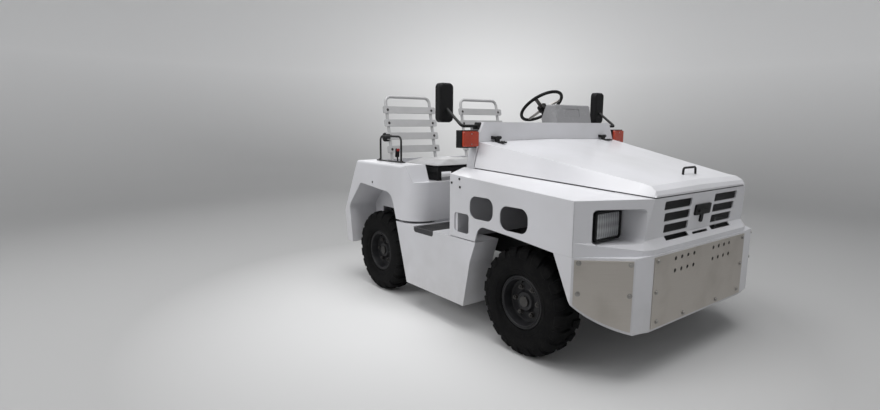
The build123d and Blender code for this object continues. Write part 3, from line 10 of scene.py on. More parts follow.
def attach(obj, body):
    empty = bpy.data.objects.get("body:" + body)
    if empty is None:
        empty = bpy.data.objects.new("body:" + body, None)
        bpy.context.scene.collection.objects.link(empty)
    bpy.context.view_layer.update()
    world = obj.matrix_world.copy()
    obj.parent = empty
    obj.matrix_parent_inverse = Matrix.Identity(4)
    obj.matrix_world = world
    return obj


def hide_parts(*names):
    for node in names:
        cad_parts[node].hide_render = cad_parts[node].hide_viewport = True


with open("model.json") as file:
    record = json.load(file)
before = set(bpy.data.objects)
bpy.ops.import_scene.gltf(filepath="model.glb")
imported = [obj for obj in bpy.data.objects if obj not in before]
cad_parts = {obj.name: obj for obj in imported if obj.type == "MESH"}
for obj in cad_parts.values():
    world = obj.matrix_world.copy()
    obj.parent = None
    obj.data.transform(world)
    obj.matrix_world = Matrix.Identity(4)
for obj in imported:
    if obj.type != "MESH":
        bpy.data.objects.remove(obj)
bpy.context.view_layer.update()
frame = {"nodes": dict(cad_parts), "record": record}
nodes = frame["nodes"]

TWO_SIDES = (("left", 1), ("right", -1))
ASIDE = Vector((0.0, 1.0, 0.0))


# Surfaces

class Value:
    """A number that varies over a surface. Arithmetic on it adds Math nodes."""

    def __init__(self, finish, socket):
        self.finish = finish
        self.socket = socket

    def math(self, operation, *operands):
        return self.finish.node("Math", {"operation": operation}, dict(enumerate(operands)))

    def __add__(self, other):
        return self.math("ADD", self, other)

    def __sub__(self, other):
        return self.math("SUBTRACT", self, other)

    def __rsub__(self, other):
        return self.math("SUBTRACT", other, self)

    def __mul__(self, other):
        return self.math("MULTIPLY", self, other)

    def __pow__(self, other):
        return self.math("POWER", self, other)

    def __gt__(self, other):
        return self.math("GREATER_THAN", self, other)

    def clipped(self):
        return self.math("MINIMUM", self.math("MAXIMUM", self, 0.0), 1.0)

    __radd__ = __add__
    __rmul__ = __mul__


class Finish:
    """One procedural material, with its nodes made through a single method."""

    def __init__(self, name, **constants):
        self.material = bpy.data.materials.new(name)
        self.material.use_nodes = True
        self.tree = self.material.node_tree
        self.surface = self.tree.nodes["Principled BSDF"]
        for socket, value in constants.items():
            self.surface.inputs[socket.replace("_", " ")].default_value = value
        self.place = self.node("TexCoord", output="Object")

    def node(self, kind, settings=None, inputs=None, output=0):
        """Make a node: its settings first, then the values or links of its sockets."""
        made = self.tree.nodes.new("ShaderNode" + kind)
        for name, value in (settings or {}).items():
            if name == "stops":
                for stop, (position, colour) in zip(made.color_ramp.elements, value):
                    stop.position = position
                    stop.color = (*colour, 1.0)
            else:
                setattr(made, name, value)
        for key, value in (inputs or {}).items():
            if isinstance(value, Value):
                self.tree.links.new(value.socket, made.inputs[key])
            else:
                made.inputs[key].default_value = value
        return Value(self, made.outputs[output])

    def feed(self, socket, value):
        self.tree.links.new(value.socket, self.surface.inputs[socket])

    def axis(self, name):
        """One object coordinate, in metres."""
        return self.node("SeparateXYZ", inputs={0: self.place}, output=name)

    def stretched(self, x, y, z):
        """Object coordinates scaled along each axis, for grain that runs one way."""
        return self.node("Mapping", inputs={"Vector": self.place, "Scale": (x, y, z)})

    def noise(self, scale, detail=3.0, rough=0.5, where=None):
        return self.node("TexNoise", inputs={"Vector": where or self.place, "Scale": scale, "Detail": detail,
                                             "Roughness": rough})

    def cells(self, scale, feature="F1", where=None):
        return self.node("TexVoronoi", {"feature": feature}, {"Vector": where or self.place, "Scale": scale})

    def between(self, low, high, value):
        """0 below low, 1 above high, straight between."""
        return self.node("MapRange", {"clamp": True}, {"Value": value, "From Min": low, "From Max": high})

    def mixed(self, first, second, share):
        """A colour between two, each a colour or a Value."""
        first, second = (c if isinstance(c, Value) else (*c, 1.0) for c in (first, second))
        return self.node("Mix", {"data_type": "RGBA"}, {0: share, 6: first, 7: second}, output=2)

    def soft_edges(self, radius):
        """Normals of slightly rounded edges, for sheet and castings with sharp corners."""
        return self.node("Bevel", {"samples": 4}, {"Radius": radius})

    def edge_mask(self, radius):
        """1 along sharp edges, 0 on flats."""
        rounded = self.soft_edges(radius)
        flat = self.node("NewGeometry", output="Normal")
        turn = self.node("VectorMath", {"operation": "DOT_PRODUCT"}, {0: rounded, 1: flat}, output="Value")
        return ((1.0 - turn) * 3.0).clipped()

    def bump(self, height, strength, distance=0.001, normal=None):
        inputs = {"Height": height, "Strength": strength, "Distance": distance}
        if normal:
            inputs["Normal"] = normal
        self.feed("Normal", self.node("Bump", inputs=inputs))


def body_paint():
    """Off-white paint on pressed steel: faint orange peel, dust near the ground, grey edges."""
    paint = Finish("body_paint", Roughness=0.34, Coat_Roughness=0.12)
    clean, aged = (0.665, 0.665, 0.695), (0.60, 0.60, 0.62)
    colour = paint.mixed(clean, aged, paint.between(0.35, 0.7, paint.noise(2.6, 4.0)))
    low = 1.0 - paint.between(0.15, 0.62, paint.axis("Z"))
    dust = (low * paint.noise(9.0, 5.0) * 0.55).clipped()
    colour = paint.mixed(colour, (0.36, 0.35, 0.33), dust)
    edge = paint.edge_mask(0.004) * paint.between(0.45, 0.62, paint.noise(38.0, 4.0)) * 0.5
    colour = paint.mixed(colour, (0.42, 0.42, 0.43), edge)
    paint.feed("Base Color", colour)
    paint.feed("Roughness", (0.30 + dust * 0.5 + paint.noise(14.0) * 0.12).clipped())
    paint.surface.inputs["Coat Weight"].default_value = 0.25
    paint.bump(paint.noise(420.0, 2.0) + paint.noise(5.0, 2.0) * 2.0, 0.05, normal=paint.soft_edges(0.004))
    return paint.material


def plain_paint(name, colour, worn, roughness, edge=0.003, wear=0.6, uneven=0.35, gloss=0.5):
    """Solid paint on bars and castings, rubbed through a little on its edges."""
    paint = Finish(name, Specular_IOR_Level=gloss)
    patches = paint.between(0.4, 0.65, paint.noise(11.0, 5.0))
    tone = paint.mixed(colour, [c * (1 + uneven) + 0.01 * uneven for c in colour], patches)
    rubbed = paint.edge_mask(edge) * paint.between(0.42, 0.6, paint.noise(60.0, 4.0)) * wear
    paint.feed("Base Color", paint.mixed(tone, worn, rubbed))
    paint.feed("Roughness", roughness + patches * 0.12 - rubbed * 0.1)
    paint.bump(paint.noise(300.0, 3.0), 0.12, normal=paint.soft_edges(edge))
    return paint.material


def moulded_plastic(name, colour, roughness, gloss=0.5):
    """Grained plastic: a fine leathery texture and a soft sheen."""
    plastic = Finish(name, Specular_IOR_Level=gloss)
    grain = plastic.cells(900.0)
    scuffs = plastic.between(0.55, 0.7, plastic.noise(26.0, 6.0))
    plastic.feed("Base Color", plastic.mixed(colour, [c * 1.5 + 0.004 for c in colour], scuffs * 0.5))
    plastic.feed("Roughness", roughness + scuffs * 0.12 + grain * 0.1)
    plastic.bump(grain + plastic.noise(60.0) * 0.5, 0.22, normal=plastic.soft_edges(0.003))
    return plastic.material


def brushed_steel():
    """Stainless sheet, brushed along its length, with a warm dull sheen."""
    steel = Finish("stainless", Metallic=1.0)
    along = steel.stretched(2.0, 3.0, 420.0)
    brush = steel.noise(3.0, 4.0, where=along)
    smear = steel.noise(3.2, 5.0)
    colour = steel.mixed((0.47, 0.435, 0.395), (0.60, 0.57, 0.53), brush)
    colour = steel.mixed(colour, (0.36, 0.33, 0.29), steel.between(0.5, 0.75, smear) * 0.6)
    steel.feed("Base Color", colour)
    steel.feed("Roughness", 0.34 + brush * 0.16 + smear * 0.14)
    steel.bump(brush, 0.06, normal=steel.soft_edges(0.002))
    return steel.material


def tyre_rubber():
    """Black rubber, greyed by dust on the lugs' faces, with fine mould lines."""
    rubber = Finish("tyre_rubber", Specular_IOR_Level=0.1)
    patches = rubber.noise(16.0, 6.0)
    grit = rubber.between(0.52, 0.7, rubber.noise(90.0, 4.0))
    colour = rubber.mixed((0.0022, 0.0022, 0.0026), (0.008, 0.0078, 0.0078), rubber.between(0.4, 0.75, patches))
    rubber.feed("Base Color", rubber.mixed(colour, (0.018, 0.0175, 0.016), grit * 0.3))
    rubber.feed("Roughness", 0.58 + patches * 0.25)
    rubber.bump(rubber.noise(500.0, 3.0) + patches * 2.0, 0.2, normal=rubber.soft_edges(0.002))
    return rubber.material


def ribbed_rubber():
    """Floor rubber: dark grey with a fine pebble and worn lighter patches."""
    rubber = Finish("floor_rubber")
    pebble = rubber.cells(330.0)
    worn = rubber.between(0.42, 0.7, rubber.noise(5.0, 6.0))
    rubber.feed("Base Color", rubber.mixed((0.030, 0.030, 0.033), (0.085, 0.083, 0.081), worn))
    rubber.feed("Roughness", 0.6 + worn * 0.2)
    rubber.bump(pebble, 0.35, normal=rubber.soft_edges(0.002))
    return rubber.material


def rough_casting():
    """Bare cast grey metal, oily and dark in patches."""
    casting = Finish("bare_casting", Metallic=0.55)
    oil = casting.between(0.45, 0.65, casting.noise(7.0, 6.0))
    casting.feed("Base Color", casting.mixed((0.16, 0.16, 0.165), (0.05, 0.046, 0.042), oil))
    casting.feed("Roughness", 0.62 - oil * 0.25)
    casting.bump(casting.noise(240.0, 4.0), 0.5, normal=casting.soft_edges(0.006))
    return casting.material


def radiator_core():
    """Dark core with upright fins; its colour is striped with them, the dark bands being painted shade between the
    fins.
    """
    core = Finish("radiator_fins", Metallic=0.7)
    fins = core.node("TexWave", {"bands_direction": "Y"}, {"Vector": core.place, "Scale": 60.0}, output=1)
    # Painted shade: the base colour darkens in the bands between the fins.
    core.feed("Base Color", core.mixed((0.03, 0.03, 0.032), (0.17, 0.17, 0.175), fins))
    core.feed("Roughness", 0.4 + fins * 0.2)
    core.bump(fins, 0.6, 0.002)
    return core.material


def lens(name, colour, deep, rib_scale, glow=0.0):
    """Coloured lamp plastic with moulded ribs below a glossy face."""
    glass = Finish(name, Roughness=0.12, Coat_Weight=0.6, Coat_Roughness=0.05)
    ribs = glass.node("TexWave", {"bands_direction": "Y"}, {"Vector": glass.place, "Scale": rib_scale}, output=1)
    glass.feed("Base Color", glass.mixed(deep, colour, ribs * 0.6 + glass.noise(22.0) * 0.4))
    if glow:
        glass.surface.inputs["Emission Color"].default_value = (*colour, 1.0)
        glass.surface.inputs["Emission Strength"].default_value = glow
    glass.bump(ribs, 0.35, 0.0015)
    return glass.material


def vinyl():
    """Light grey seat vinyl: creased grain and grubby low spots."""
    skin = Finish("seat_vinyl")
    grain = skin.cells(520.0)
    grime = skin.between(0.45, 0.72, skin.noise(8.0, 6.0))
    skin.feed("Base Color", skin.mixed((0.37, 0.37, 0.378), (0.28, 0.277, 0.27), grime * 0.7))
    skin.feed("Roughness", 0.42 + grime * 0.2)
    skin.bump(grain + skin.noise(40.0, 4.0) * 1.5, 0.25)
    return skin.material


def headlight_glass():
    """Fluted glass whose light flute and step bands are a painted reflection of the bright reflector behind it."""
    glass = Finish("headlight_glass", Roughness=0.09, Coat_Weight=1.0, Coat_Roughness=0.03, Metallic=0.35)
    flutes = glass.node("TexWave", {"bands_direction": "Y"}, {"Vector": glass.place, "Scale": 18.0}, output=1)
    steps = glass.node("TexWave", {"bands_direction": "Z"}, {"Vector": glass.place, "Scale": 7.0}, output=1)
    # Painted reflection: the base colour lightens along the flutes and steps for the reflector's shine.
    colour = glass.mixed((0.16, 0.165, 0.17), (0.42, 0.43, 0.44), (flutes * 0.6 + steps * 0.4).clipped())
    glass.feed("Base Color", colour)
    glass.bump(flutes + steps * 0.5, 0.5, 0.0015)
    return glass.material


def mirror_glass():
    """Silvered glass with a faint film of dust."""
    glass = Finish("mirror_glass", Metallic=1.0, Coat_Weight=0.5)
    film = glass.noise(18.0, 5.0)
    glass.feed("Base Color", glass.mixed((0.72, 0.74, 0.75), (0.55, 0.56, 0.56), film))
    glass.feed("Roughness", 0.04 + film * 0.06)
    return glass.material


SURFACES = {
    "body_paint": body_paint(),
    "grey_panel": moulded_plastic("grey_panel", (0.26, 0.26, 0.268), 0.48),
    "stainless": brushed_steel(),
    "chassis_paint": plain_paint("chassis_paint", (0.014, 0.014, 0.015), (0.11, 0.09, 0.075), 0.5, 0.004, 0.6, 0.35, 0.3),
    "floor_rubber": ribbed_rubber(),
    "bare_casting": rough_casting(),
    "radiator_fins": radiator_core(),
    "black_mesh": plain_paint("black_mesh", (0.018, 0.018, 0.019), (0.06, 0.06, 0.06), 0.42, 0.001, 0.3),
    "black_plastic": moulded_plastic("black_plastic", (0.006, 0.006, 0.0066), 0.42, 0.22),
    "black_metal": plain_paint("black_metal", (0.009, 0.009, 0.0095), (0.10, 0.09, 0.085), 0.36, 0.002, 0.6, 0.35, 0.3),
    "lamp_glass": lens("lamp_glass", (0.42, 0.44, 0.46), (0.2, 0.21, 0.22), 34.0),
    "signal_lens": lens("signal_lens", (0.5, 0.055, 0.02), (0.2, 0.014, 0.006), 48.0, 0.05),
    "red_lens": lens("red_lens", (0.42, 0.012, 0.01), (0.16, 0.004, 0.004), 52.0),
    "seat_vinyl": vinyl(),
    "seat_paint": plain_paint("seat_paint", (0.43, 0.43, 0.435), (0.24, 0.23, 0.22), 0.36, 0.002, 0.5, 0.06),
    "tyre_rubber": tyre_rubber(),
    "rim_paint": plain_paint("rim_paint", (0.012, 0.012, 0.0135), (0.09, 0.082, 0.074), 0.36, 0.003, 0.7, 0.35, 0.25),
}

WORN_STEEL = plain_paint("worn_steel", (0.06, 0.058, 0.056), (0.26, 0.24, 0.22), 0.38, 0.001, 0.9)
DULL_STEEL = plain_paint("dull_steel", (0.30, 0.29, 0.275), (0.5, 0.49, 0.47), 0.3, 0.001, 0.6)
PALE_MARKS = plain_paint("pale_marks", (0.62, 0.62, 0.60), (0.5, 0.5, 0.5), 0.5, 0.001, 0.2)
HEADLIGHT_GLASS = headlight_glass()
MIRROR_GLASS = mirror_glass()
for steel in (WORN_STEEL, DULL_STEEL):
    steel.node_tree.nodes["Principled BSDF"].inputs["Metallic"].default_value = 0.85

for part in frame["record"]["subparts"]:
    shape = nodes[part["node"]]
    shape.data.materials.clear()
    shape.data.materials.append(SURFACES[part["material_slot"]])


# Shapes

def add_box(grid, centre, size, turn=None, bevel=0.0, segments=2):
    """A box with rounded edges, turned about its centre."""
    turned = (turn or Matrix.Identity(3)).to_4x4()
    place = Matrix.Translation(centre) @ turned @ Matrix.Diagonal((*size, 1.0))
    made = bmesh.ops.create_cube(grid, size=1.0, matrix=place)
    if bevel:
        edges = list({e for v in made["verts"] for e in v.link_edges})
        bmesh.ops.bevel(grid, geom=edges, offset=bevel, segments=segments, affect="EDGES", profile=0.5, material=-1)


def add_rod(grid, start, end, radius, sides=16, bevel=0.0, end_radius=None):
    """A round or many-sided bar between two points, its rims rounded."""
    start, end = Vector(start), Vector(end)
    along = end - start
    place = Matrix.Translation((start + end) / 2) @ along.to_track_quat("Z", "Y").to_matrix().to_4x4()
    made = bmesh.ops.create_cone(grid, cap_ends=True, segments=sides, radius1=radius, depth=along.length,
                                 radius2=radius if end_radius is None else end_radius, matrix=place)
    if bevel:
        edges = {e for v in made["verts"] for e in v.link_edges}
        rims = [e for e in edges if abs((e.verts[0].co - e.verts[1].co).normalized().dot(along.normalized())) < 0.3]
        bmesh.ops.bevel(grid, geom=rims, offset=bevel, segments=2, affect="EDGES", profile=0.5, material=-1)


def add_lathe(grid, profile, place, steps=72):
    """A closed outline of (radius, distance along Y) turned about the Y axis of its place."""
    verts = [grid.verts.new(place @ Vector((r, y, 0.0))) for r, y in profile]
    edges = [grid.edges.new((a, b)) for a, b in zip(verts, verts[1:] + verts[:1])]
    axis = place.to_3x3() @ Vector((0, 1, 0))
    bmesh.ops.spin(grid, geom=verts + edges, cent=place.translation, axis=axis, angle=2 * pi, steps=steps,
                   use_merge=True)
    bmesh.ops.remove_doubles(grid, verts=grid.verts, dist=1e-6)


def add_loft(grid, sections):
    """A closed bar through sections of equal point counts, capped at both ends."""
    rings = [[grid.verts.new(p) for p in section] for section in sections]
    for low, high in zip(rings, rings[1:]):
        for k in range(len(low)):
            j = (k + 1) % len(low)
            grid.faces.new((low[k], low[j], high[j], high[k]))
    grid.faces.new(rings[0][::-1])
    grid.faces.new(rings[-1])


def add_tube(grid, points, radius, sides=8, closed=False):
    """A round tube along points; a closed one joins its end to its start."""
    points = [Vector(p) for p in points]
    count = len(points)
    rings = []
    across = None
    for k, point in enumerate(points):
        before = points[k - 1] if k or closed else point
        after = points[(k + 1) % count] if k < count - 1 or closed else point
        along = (after - before).normalized()
        if across is None:
            across = along.orthogonal()
        across = (across - along * across.dot(along)).normalized()
        other = along.cross(across)
        rings.append([point + (across * cos(a) + other * sin(a)) * radius
                      for a in (2 * pi * n / sides for n in range(sides))])
    if not closed:
        add_loft(grid, rings)
        return
    made = [[grid.verts.new(p) for p in ring] for ring in rings]
    for k in range(count):
        low, high = made[k], made[(k + 1) % count]
        shift = min(range(sides), key=lambda s: (low[0].co - high[s].co).length) if k == count - 1 else 0
        for n in range(sides):
            m = (n + 1) % sides
            grid.faces.new((low[n], low[m], high[(m + shift) % sides], high[(n + shift) % sides]))


def frame_turn(x_axis, y_axis):
    """A rotation whose first two columns are the given directions."""
    x_axis, y_axis = x_axis.normalized(), y_axis.normalized()
    return Matrix((x_axis, y_axis, x_axis.cross(y_axis))).transposed()


def rounded_outline(width, height, corner, steps=5):
    """Points of a rounded rectangle about the origin, counter-clockwise."""
    points = []
    for k, (sx, sy) in enumerate(((1, 1), (-1, 1), (-1, -1), (1, -1))):
        cx, cy = sx * (width / 2 - corner), sy * (height / 2 - corner)
        for n in range(steps + 1):
            a = (k + n / steps) * pi / 2
            points.append((cx + corner * cos(a), cy + corner * sin(a)))
    return points


def piece(name, grid, body, slot, finish=None, replaces=(), sharp=32.0):
    """A part of the machine from a grid of faces, riding on a body."""
    bmesh.ops.recalc_face_normals(grid, faces=grid.faces)
    for face in grid.faces:
        face.smooth = True
    mesh = bpy.data.meshes.new(name)
    grid.to_mesh(mesh)
    grid.free()
    mesh.set_sharp_from_angle(angle=radians(sharp))
    mesh.materials.append(finish or SURFACES[slot])
    shape = bpy.data.objects.new(name, mesh)
    bpy.context.collection.objects.link(shape)
    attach(shape, body)
    if replaces:
        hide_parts(*replaces)
    return shape


# Wheels: carcass with staggered lugs, stepped rim, hub cap and nuts

WHEEL_Y = 0.7065
AXLE_Z = 0.295
WHEEL_X = {"front": 0.740, "rear": -0.693}
LUGS_A_SIDE = 20
HALF_CARCASS = (
    (0.1275, 0.0570), (0.1463, 0.0640), (0.1500, 0.0715), (0.1580, 0.0775), (0.1690, 0.0822), (0.1740, 0.0836),
    (0.1752, 0.0852), (0.1790, 0.0860), (0.1802, 0.0848), (0.1860, 0.0866), (0.2030, 0.0872), (0.2230, 0.0864),
    (0.2430, 0.0846), (0.2580, 0.0808), (0.2695, 0.0745), (0.2778, 0.0650), (0.2822, 0.0505), (0.2836, 0.0300),
    (0.2840, 0.0100),
)
# One lug's stations: (distance out, top radius, half width, sweep in degrees, base distance out, base radius)
LUG_STATIONS = (
    (0.0050, 0.2948, 0.0175, 0.0, 0.0050, 0.270), (0.0240, 0.2950, 0.0200, 0.9, 0.0240, 0.270),
    (0.0430, 0.2944, 0.0238, 2.2, 0.0410, 0.269), (0.0590, 0.2920, 0.0272, 3.4, 0.0540, 0.266),
    (0.0710, 0.2858, 0.0290, 4.3, 0.0620, 0.259), (0.0800, 0.2745, 0.0290, 4.9, 0.0690, 0.250),
    (0.0858, 0.2600, 0.0270, 5.3, 0.0740, 0.241), (0.0874, 0.2450, 0.0230, 5.5, 0.0770, 0.232),
)
LUG_SHOULDER = 0.003
RIM_OUTLINE = (
    (0.0225, -0.0620), (0.0520, -0.0620), (0.0520, 0.0080), (0.1070, 0.0080), (0.1150, 0.0040), (0.1170, -0.0040),
    (0.1170, -0.0640), (0.1230, -0.0690), (0.1385, -0.0700), (0.1440, -0.0675), (0.1460, -0.0640),
    (0.1452, -0.0612), (0.1385, -0.0605), (0.1290, -0.0560), (0.1270, -0.0500), (0.1225, -0.0250),
    (0.1225, 0.0250), (0.1270, 0.0500), (0.1290, 0.0560), (0.1385, 0.0605), (0.1452, 0.0612), (0.1460, 0.0640),
    (0.1440, 0.0680), (0.1400, 0.0702), (0.1360, 0.0694), (0.1335, 0.0660), (0.1318, 0.0702), (0.1285, 0.0712),
    (0.1255, 0.0690), (0.1235, 0.0620), (0.1195, 0.0480), (0.1180, 0.0300), (0.1145, 0.0205), (0.1070, 0.0175),
    (0.1000, 0.0185), (0.0680, 0.0185), (0.0600, 0.0205), (0.0545, 0.0260), (0.0510, 0.0370), (0.0480, 0.0400),
    (0.0225, 0.0400),
)
NUT_CIRCLE = 0.080
NUT_COUNT = 6
DISC_FACE = 0.0180


def lug_sections(start, side):
    """The six-sided sections of one lug, from the tread's middle over the shoulder."""
    sections = []
    for out, top, half, sweep, base_out, base in LUG_STATIONS:
        middle = start + radians(sweep)
        foot = half + 0.004
        low, high = Vector((base_out, base)), Vector((out, top))
        edge = high + (low - high).normalized() * LUG_SHOULDER
        ring = []
        for (away, radius), reach in (((low.x, low.y), -foot), ((edge.x, edge.y), -half), ((out, top), 0.0025 - half),
                                      ((out, top), half - 0.0025), ((edge.x, edge.y), half), ((low.x, low.y), foot)):
            a = middle + reach / radius
            ring.append((radius * cos(a), side * away, radius * sin(a)))
        sections.append(ring)
    return sections


def wheel_pieces(axle, side_name, side):
    body = f"wheel_{axle}_{side_name}"
    place = Matrix.Translation((WHEEL_X[axle], side * WHEEL_Y, AXLE_Z))
    if side < 0:
        place = place @ Matrix.Rotation(pi, 4, "Z")
    grid = bmesh.new()
    add_lathe(grid, list(HALF_CARCASS) + [(r, -y) for r, y in reversed(HALF_CARCASS)], place, 96)
    for k in range(LUGS_A_SIDE):
        for way, shift in ((1, 0.0), (-1, 0.5)):
            start = 2 * pi * (k + shift) / LUGS_A_SIDE
            add_loft(grid, [[place @ Vector(p) for p in ring] for ring in lug_sections(start, way)])
    piece(f"lugged_tyre_{axle}_{side_name}", grid, body, "tyre_rubber", replaces=(f"tyre_{axle}_{side_name}",))

    grid = bmesh.new()
    add_lathe(grid, RIM_OUTLINE, place, 72)
    piece(f"stepped_rim_{axle}_{side_name}", grid, body, "rim_paint", replaces=(f"rim_{axle}_{side_name}",))

    grid = bmesh.new()
    add_rod(grid, place @ Vector((0, 0.0362, 0)), place @ Vector((0, 0.0495, 0)), 0.030, 32, 0.004)
    for k in range(NUT_COUNT):
        a = 2 * pi * k / NUT_COUNT
        foot = Vector((NUT_CIRCLE * cos(a), DISC_FACE, NUT_CIRCLE * sin(a)))
        for start, end, radius, sides, round_off in ((0.0, 0.003, 0.0165, 20, 0.0006), (0.003, 0.0165, 0.0138, 6, 0.001),
                                                     (0.010, 0.0235, 0.0068, 12, 0.0008)):
            add_rod(grid, place @ (foot + Vector((0, start, 0))), place @ (foot + Vector((0, end, 0))), radius, sides,
                    round_off)
    piece(f"wheel_nuts_{axle}_{side_name}", grid, body, "rim_paint", finish=WORN_STEEL)

    grid = bmesh.new()
    foot, tip = Vector((0.0, 0.030, 0.1185)), Vector((0.0, 0.060, 0.1120))
    add_rod(grid, place @ foot, place @ tip, 0.0042, 12, 0.0008)
    add_rod(grid, place @ tip, place @ (tip + (tip - foot) * 0.3), 0.0052, 12, 0.001)
    piece(f"valve_stem_{axle}_{side_name}", grid, body, "rim_paint", finish=SURFACES["black_plastic"])


for side_name, side in TWO_SIDES:
    for axle in WHEEL_X:
        wheel_pieces(axle, side_name, side)


# Seats: swollen vinyl cushions with a welt, bolts through the slats

SEAT_Y = 0.375
PAD_BACK_X, PAD_FRONT_X = -0.621, -0.201
PAD_HALF_WIDTH = 0.2475
PAD_BOTTOM_Z, PAD_SIDE_Z = 0.9484, 0.9640
PAD_CORNER = 0.045
PAD_INSET = 0.010
PAD_RISE = 0.022
PAD_SMOOTHING = 14


def cushion_start():
    """The flat pad before it swells, a little smaller than the seat."""
    grid = bmesh.new()
    outline = rounded_outline(PAD_FRONT_X - PAD_BACK_X - 2 * PAD_INSET, 2 * (PAD_HALF_WIDTH - PAD_INSET), PAD_CORNER)
    middle = (PAD_FRONT_X + PAD_BACK_X) / 2
    add_loft(grid, [[(middle + x, y, z) for x, y in outline] for z in (PAD_BOTTOM_Z, PAD_SIDE_Z)])
    bmesh.ops.recalc_face_normals(grid, faces=grid.faces)
    mesh = bpy.data.meshes.new("pad_start")
    grid.to_mesh(mesh)
    grid.free()
    return mesh


def evaluated(shape):
    """A plain mesh of an object with its modifiers applied."""
    scene_state = bpy.context.evaluated_depsgraph_get()
    return bpy.data.meshes.new_from_object(shape.evaluated_get(scene_state))


def swollen_pad():
    """The pad filled by pressure as cloth, its underside held to the pan."""
    pad = bpy.data.objects.new("pad_cloth", cushion_start())
    bpy.context.collection.objects.link(pad)
    remesh = pad.modifiers.new("even", "REMESH")
    remesh.mode = "VOXEL"
    remesh.voxel_size = 0.006
    mesh = evaluated(pad)
    pad.modifiers.clear()
    pad.data = mesh
    rest = [v.co.copy() for v in mesh.vertices]
    held = pad.vertex_groups.new(name="held")
    held.add([v.index for v in mesh.vertices if v.co.z < PAD_BOTTOM_Z + 0.004], 1.0, "REPLACE")
    cloth = pad.modifiers.new("fill", "CLOTH")
    cloth.settings.use_pressure = True
    cloth.settings.uniform_pressure_force = 4.0
    cloth.settings.vertex_group_mass = "held"
    cloth.settings.effector_weights.gravity = 0.0
    cloth.point_cache.frame_start = 1
    cloth.point_cache.frame_end = 20
    for frame_number in range(1, 21):
        bpy.context.scene.frame_set(frame_number)
    mesh = evaluated(pad)
    pad.modifiers.clear()
    for vertex, start in zip(mesh.vertices, rest):
        move = vertex.co - start
        if move.length > PAD_RISE:
            vertex.co = start + move * (PAD_RISE / move.length)
    bpy.data.objects.remove(pad)
    return mesh


def seat_cushions():
    swollen = swollen_pad()
    middle = (PAD_FRONT_X + PAD_BACK_X) / 2
    for side_name, side in TWO_SIDES:
        grid = bmesh.new()
        grid.from_mesh(swollen)
        upper = [v for v in grid.verts if v.co.z > PAD_BOTTOM_Z + 0.004]
        for _ in range(PAD_SMOOTHING):
            bmesh.ops.smooth_vert(grid, verts=upper, factor=0.5, use_axis_x=True, use_axis_y=True, use_axis_z=True)
        bmesh.ops.subdivide_edges(grid, edges=grid.edges, cuts=1, use_grid_fill=True, smooth=1.0)
        bmesh.ops.translate(grid, verts=grid.verts, vec=(0, side * SEAT_Y, 0))
        pad = piece(f"cushion_{side_name}", grid, "root", "seat_vinyl", replaces=("seat_cushions",), sharp=180.0)
        grid = bmesh.new()
        welt = rounded_outline(PAD_FRONT_X - PAD_BACK_X - 0.004, 2 * PAD_HALF_WIDTH - 0.004, PAD_CORNER + 0.003, 8)
        add_tube(grid, [(middle + x, side * SEAT_Y + y, PAD_BOTTOM_Z + 0.004) for x, y in welt], 0.0032, 8, closed=True)
        piece(f"cushion_welt_{side_name}", grid, "root", "seat_vinyl", sharp=180.0)


seat_cushions()

BACK_LEAN = radians(11.6)
BACK_FACE = Vector((-0.900 + 0.018 * cos(BACK_LEAN), 0.0, 1.333 + 0.018 * sin(BACK_LEAN)))
DOWN_BACK = Vector((sin(BACK_LEAN), 0.0, -cos(BACK_LEAN)))
OUT_OF_BACK = Vector((cos(BACK_LEAN), 0.0, sin(BACK_LEAN)))


def slat_bolts():
    """Two domed bolts through each slat into the posts."""
    grid = bmesh.new()
    for _, side in TWO_SIDES:
        for row in range(4):
            for post in (-0.208, 0.208):
                foot = BACK_FACE + DOWN_BACK * (row * 0.100 / cos(BACK_LEAN)) + Vector((0, side * SEAT_Y + post, 0))
                add_rod(grid, foot - OUT_OF_BACK * 0.001, foot + OUT_OF_BACK * 0.0015, 0.0105, 20, 0.0006)
                add_rod(grid, foot, foot + OUT_OF_BACK * 0.0062, 0.0072, 16, 0.003)
    piece("slat_bolts", grid, "root", "black_metal", finish=WORN_STEEL)


slat_bolts()


def belt_fittings():
    """A buckle on a stalk behind each cushion, and a retractor on the outer post."""
    grid, reds = bmesh.new(), bmesh.new()
    for _, side in TWO_SIDES:
        foot = Vector((-0.700, side * 0.600, 0.845))
        head = Vector((-0.716, side * 0.606, 0.985))
        add_rod(grid, foot, head, 0.006, 14, 0.001)
        add_rod(grid, foot, foot + Vector((0, 0, 0.006)), 0.016, 20, 0.001)
        lean = frame_turn(Vector((0, 1, 0)), Vector((0.10, 0, 1)))
        add_box(grid, head + Vector((0.0, 0.0, 0.030)), (0.030, 0.066, 0.020), lean, 0.005, 3)
        add_box(reds, head + Vector((0.007, 0.0, 0.052)), (0.026, 0.020, 0.017), lean, 0.004, 3)
        hub = Vector((-0.868, side * (SEAT_Y + 0.232), 1.128))
        add_rod(grid, hub - ASIDE * 0.019, hub + ASIDE * 0.019, 0.034, 36, 0.005)
        add_rod(grid, hub - ASIDE * 0.023, hub + ASIDE * 0.023, 0.013, 24, 0.002)
    piece("belt_fittings", grid, "root", "black_plastic")
    piece("buckle_buttons", reds, "root", "red_lens")


belt_fittings()


# Nose: expanded metal behind the slots, lamp bezels and glasses

NOSE_LEAN = radians(6.3)
NOSE_TOP = Vector((1.290, 0.0, 0.889))
NOSE_DOWN = Vector((-sin(NOSE_LEAN), 0.0, -cos(NOSE_LEAN)))
NOSE_OUT = Vector((cos(NOSE_LEAN), 0.0, -sin(NOSE_LEAN)))
MESH_HALF_WIDTH = 0.400
MESH_DROPS = (0.020, 0.260)
MESH_DEPTH = 0.0095
STRAND_PITCH = 0.028
STRAND_SLOPE = 0.5


def nose_point(y, drop, out):
    return NOSE_TOP + NOSE_DOWN * drop + NOSE_OUT * out + ASIDE * y


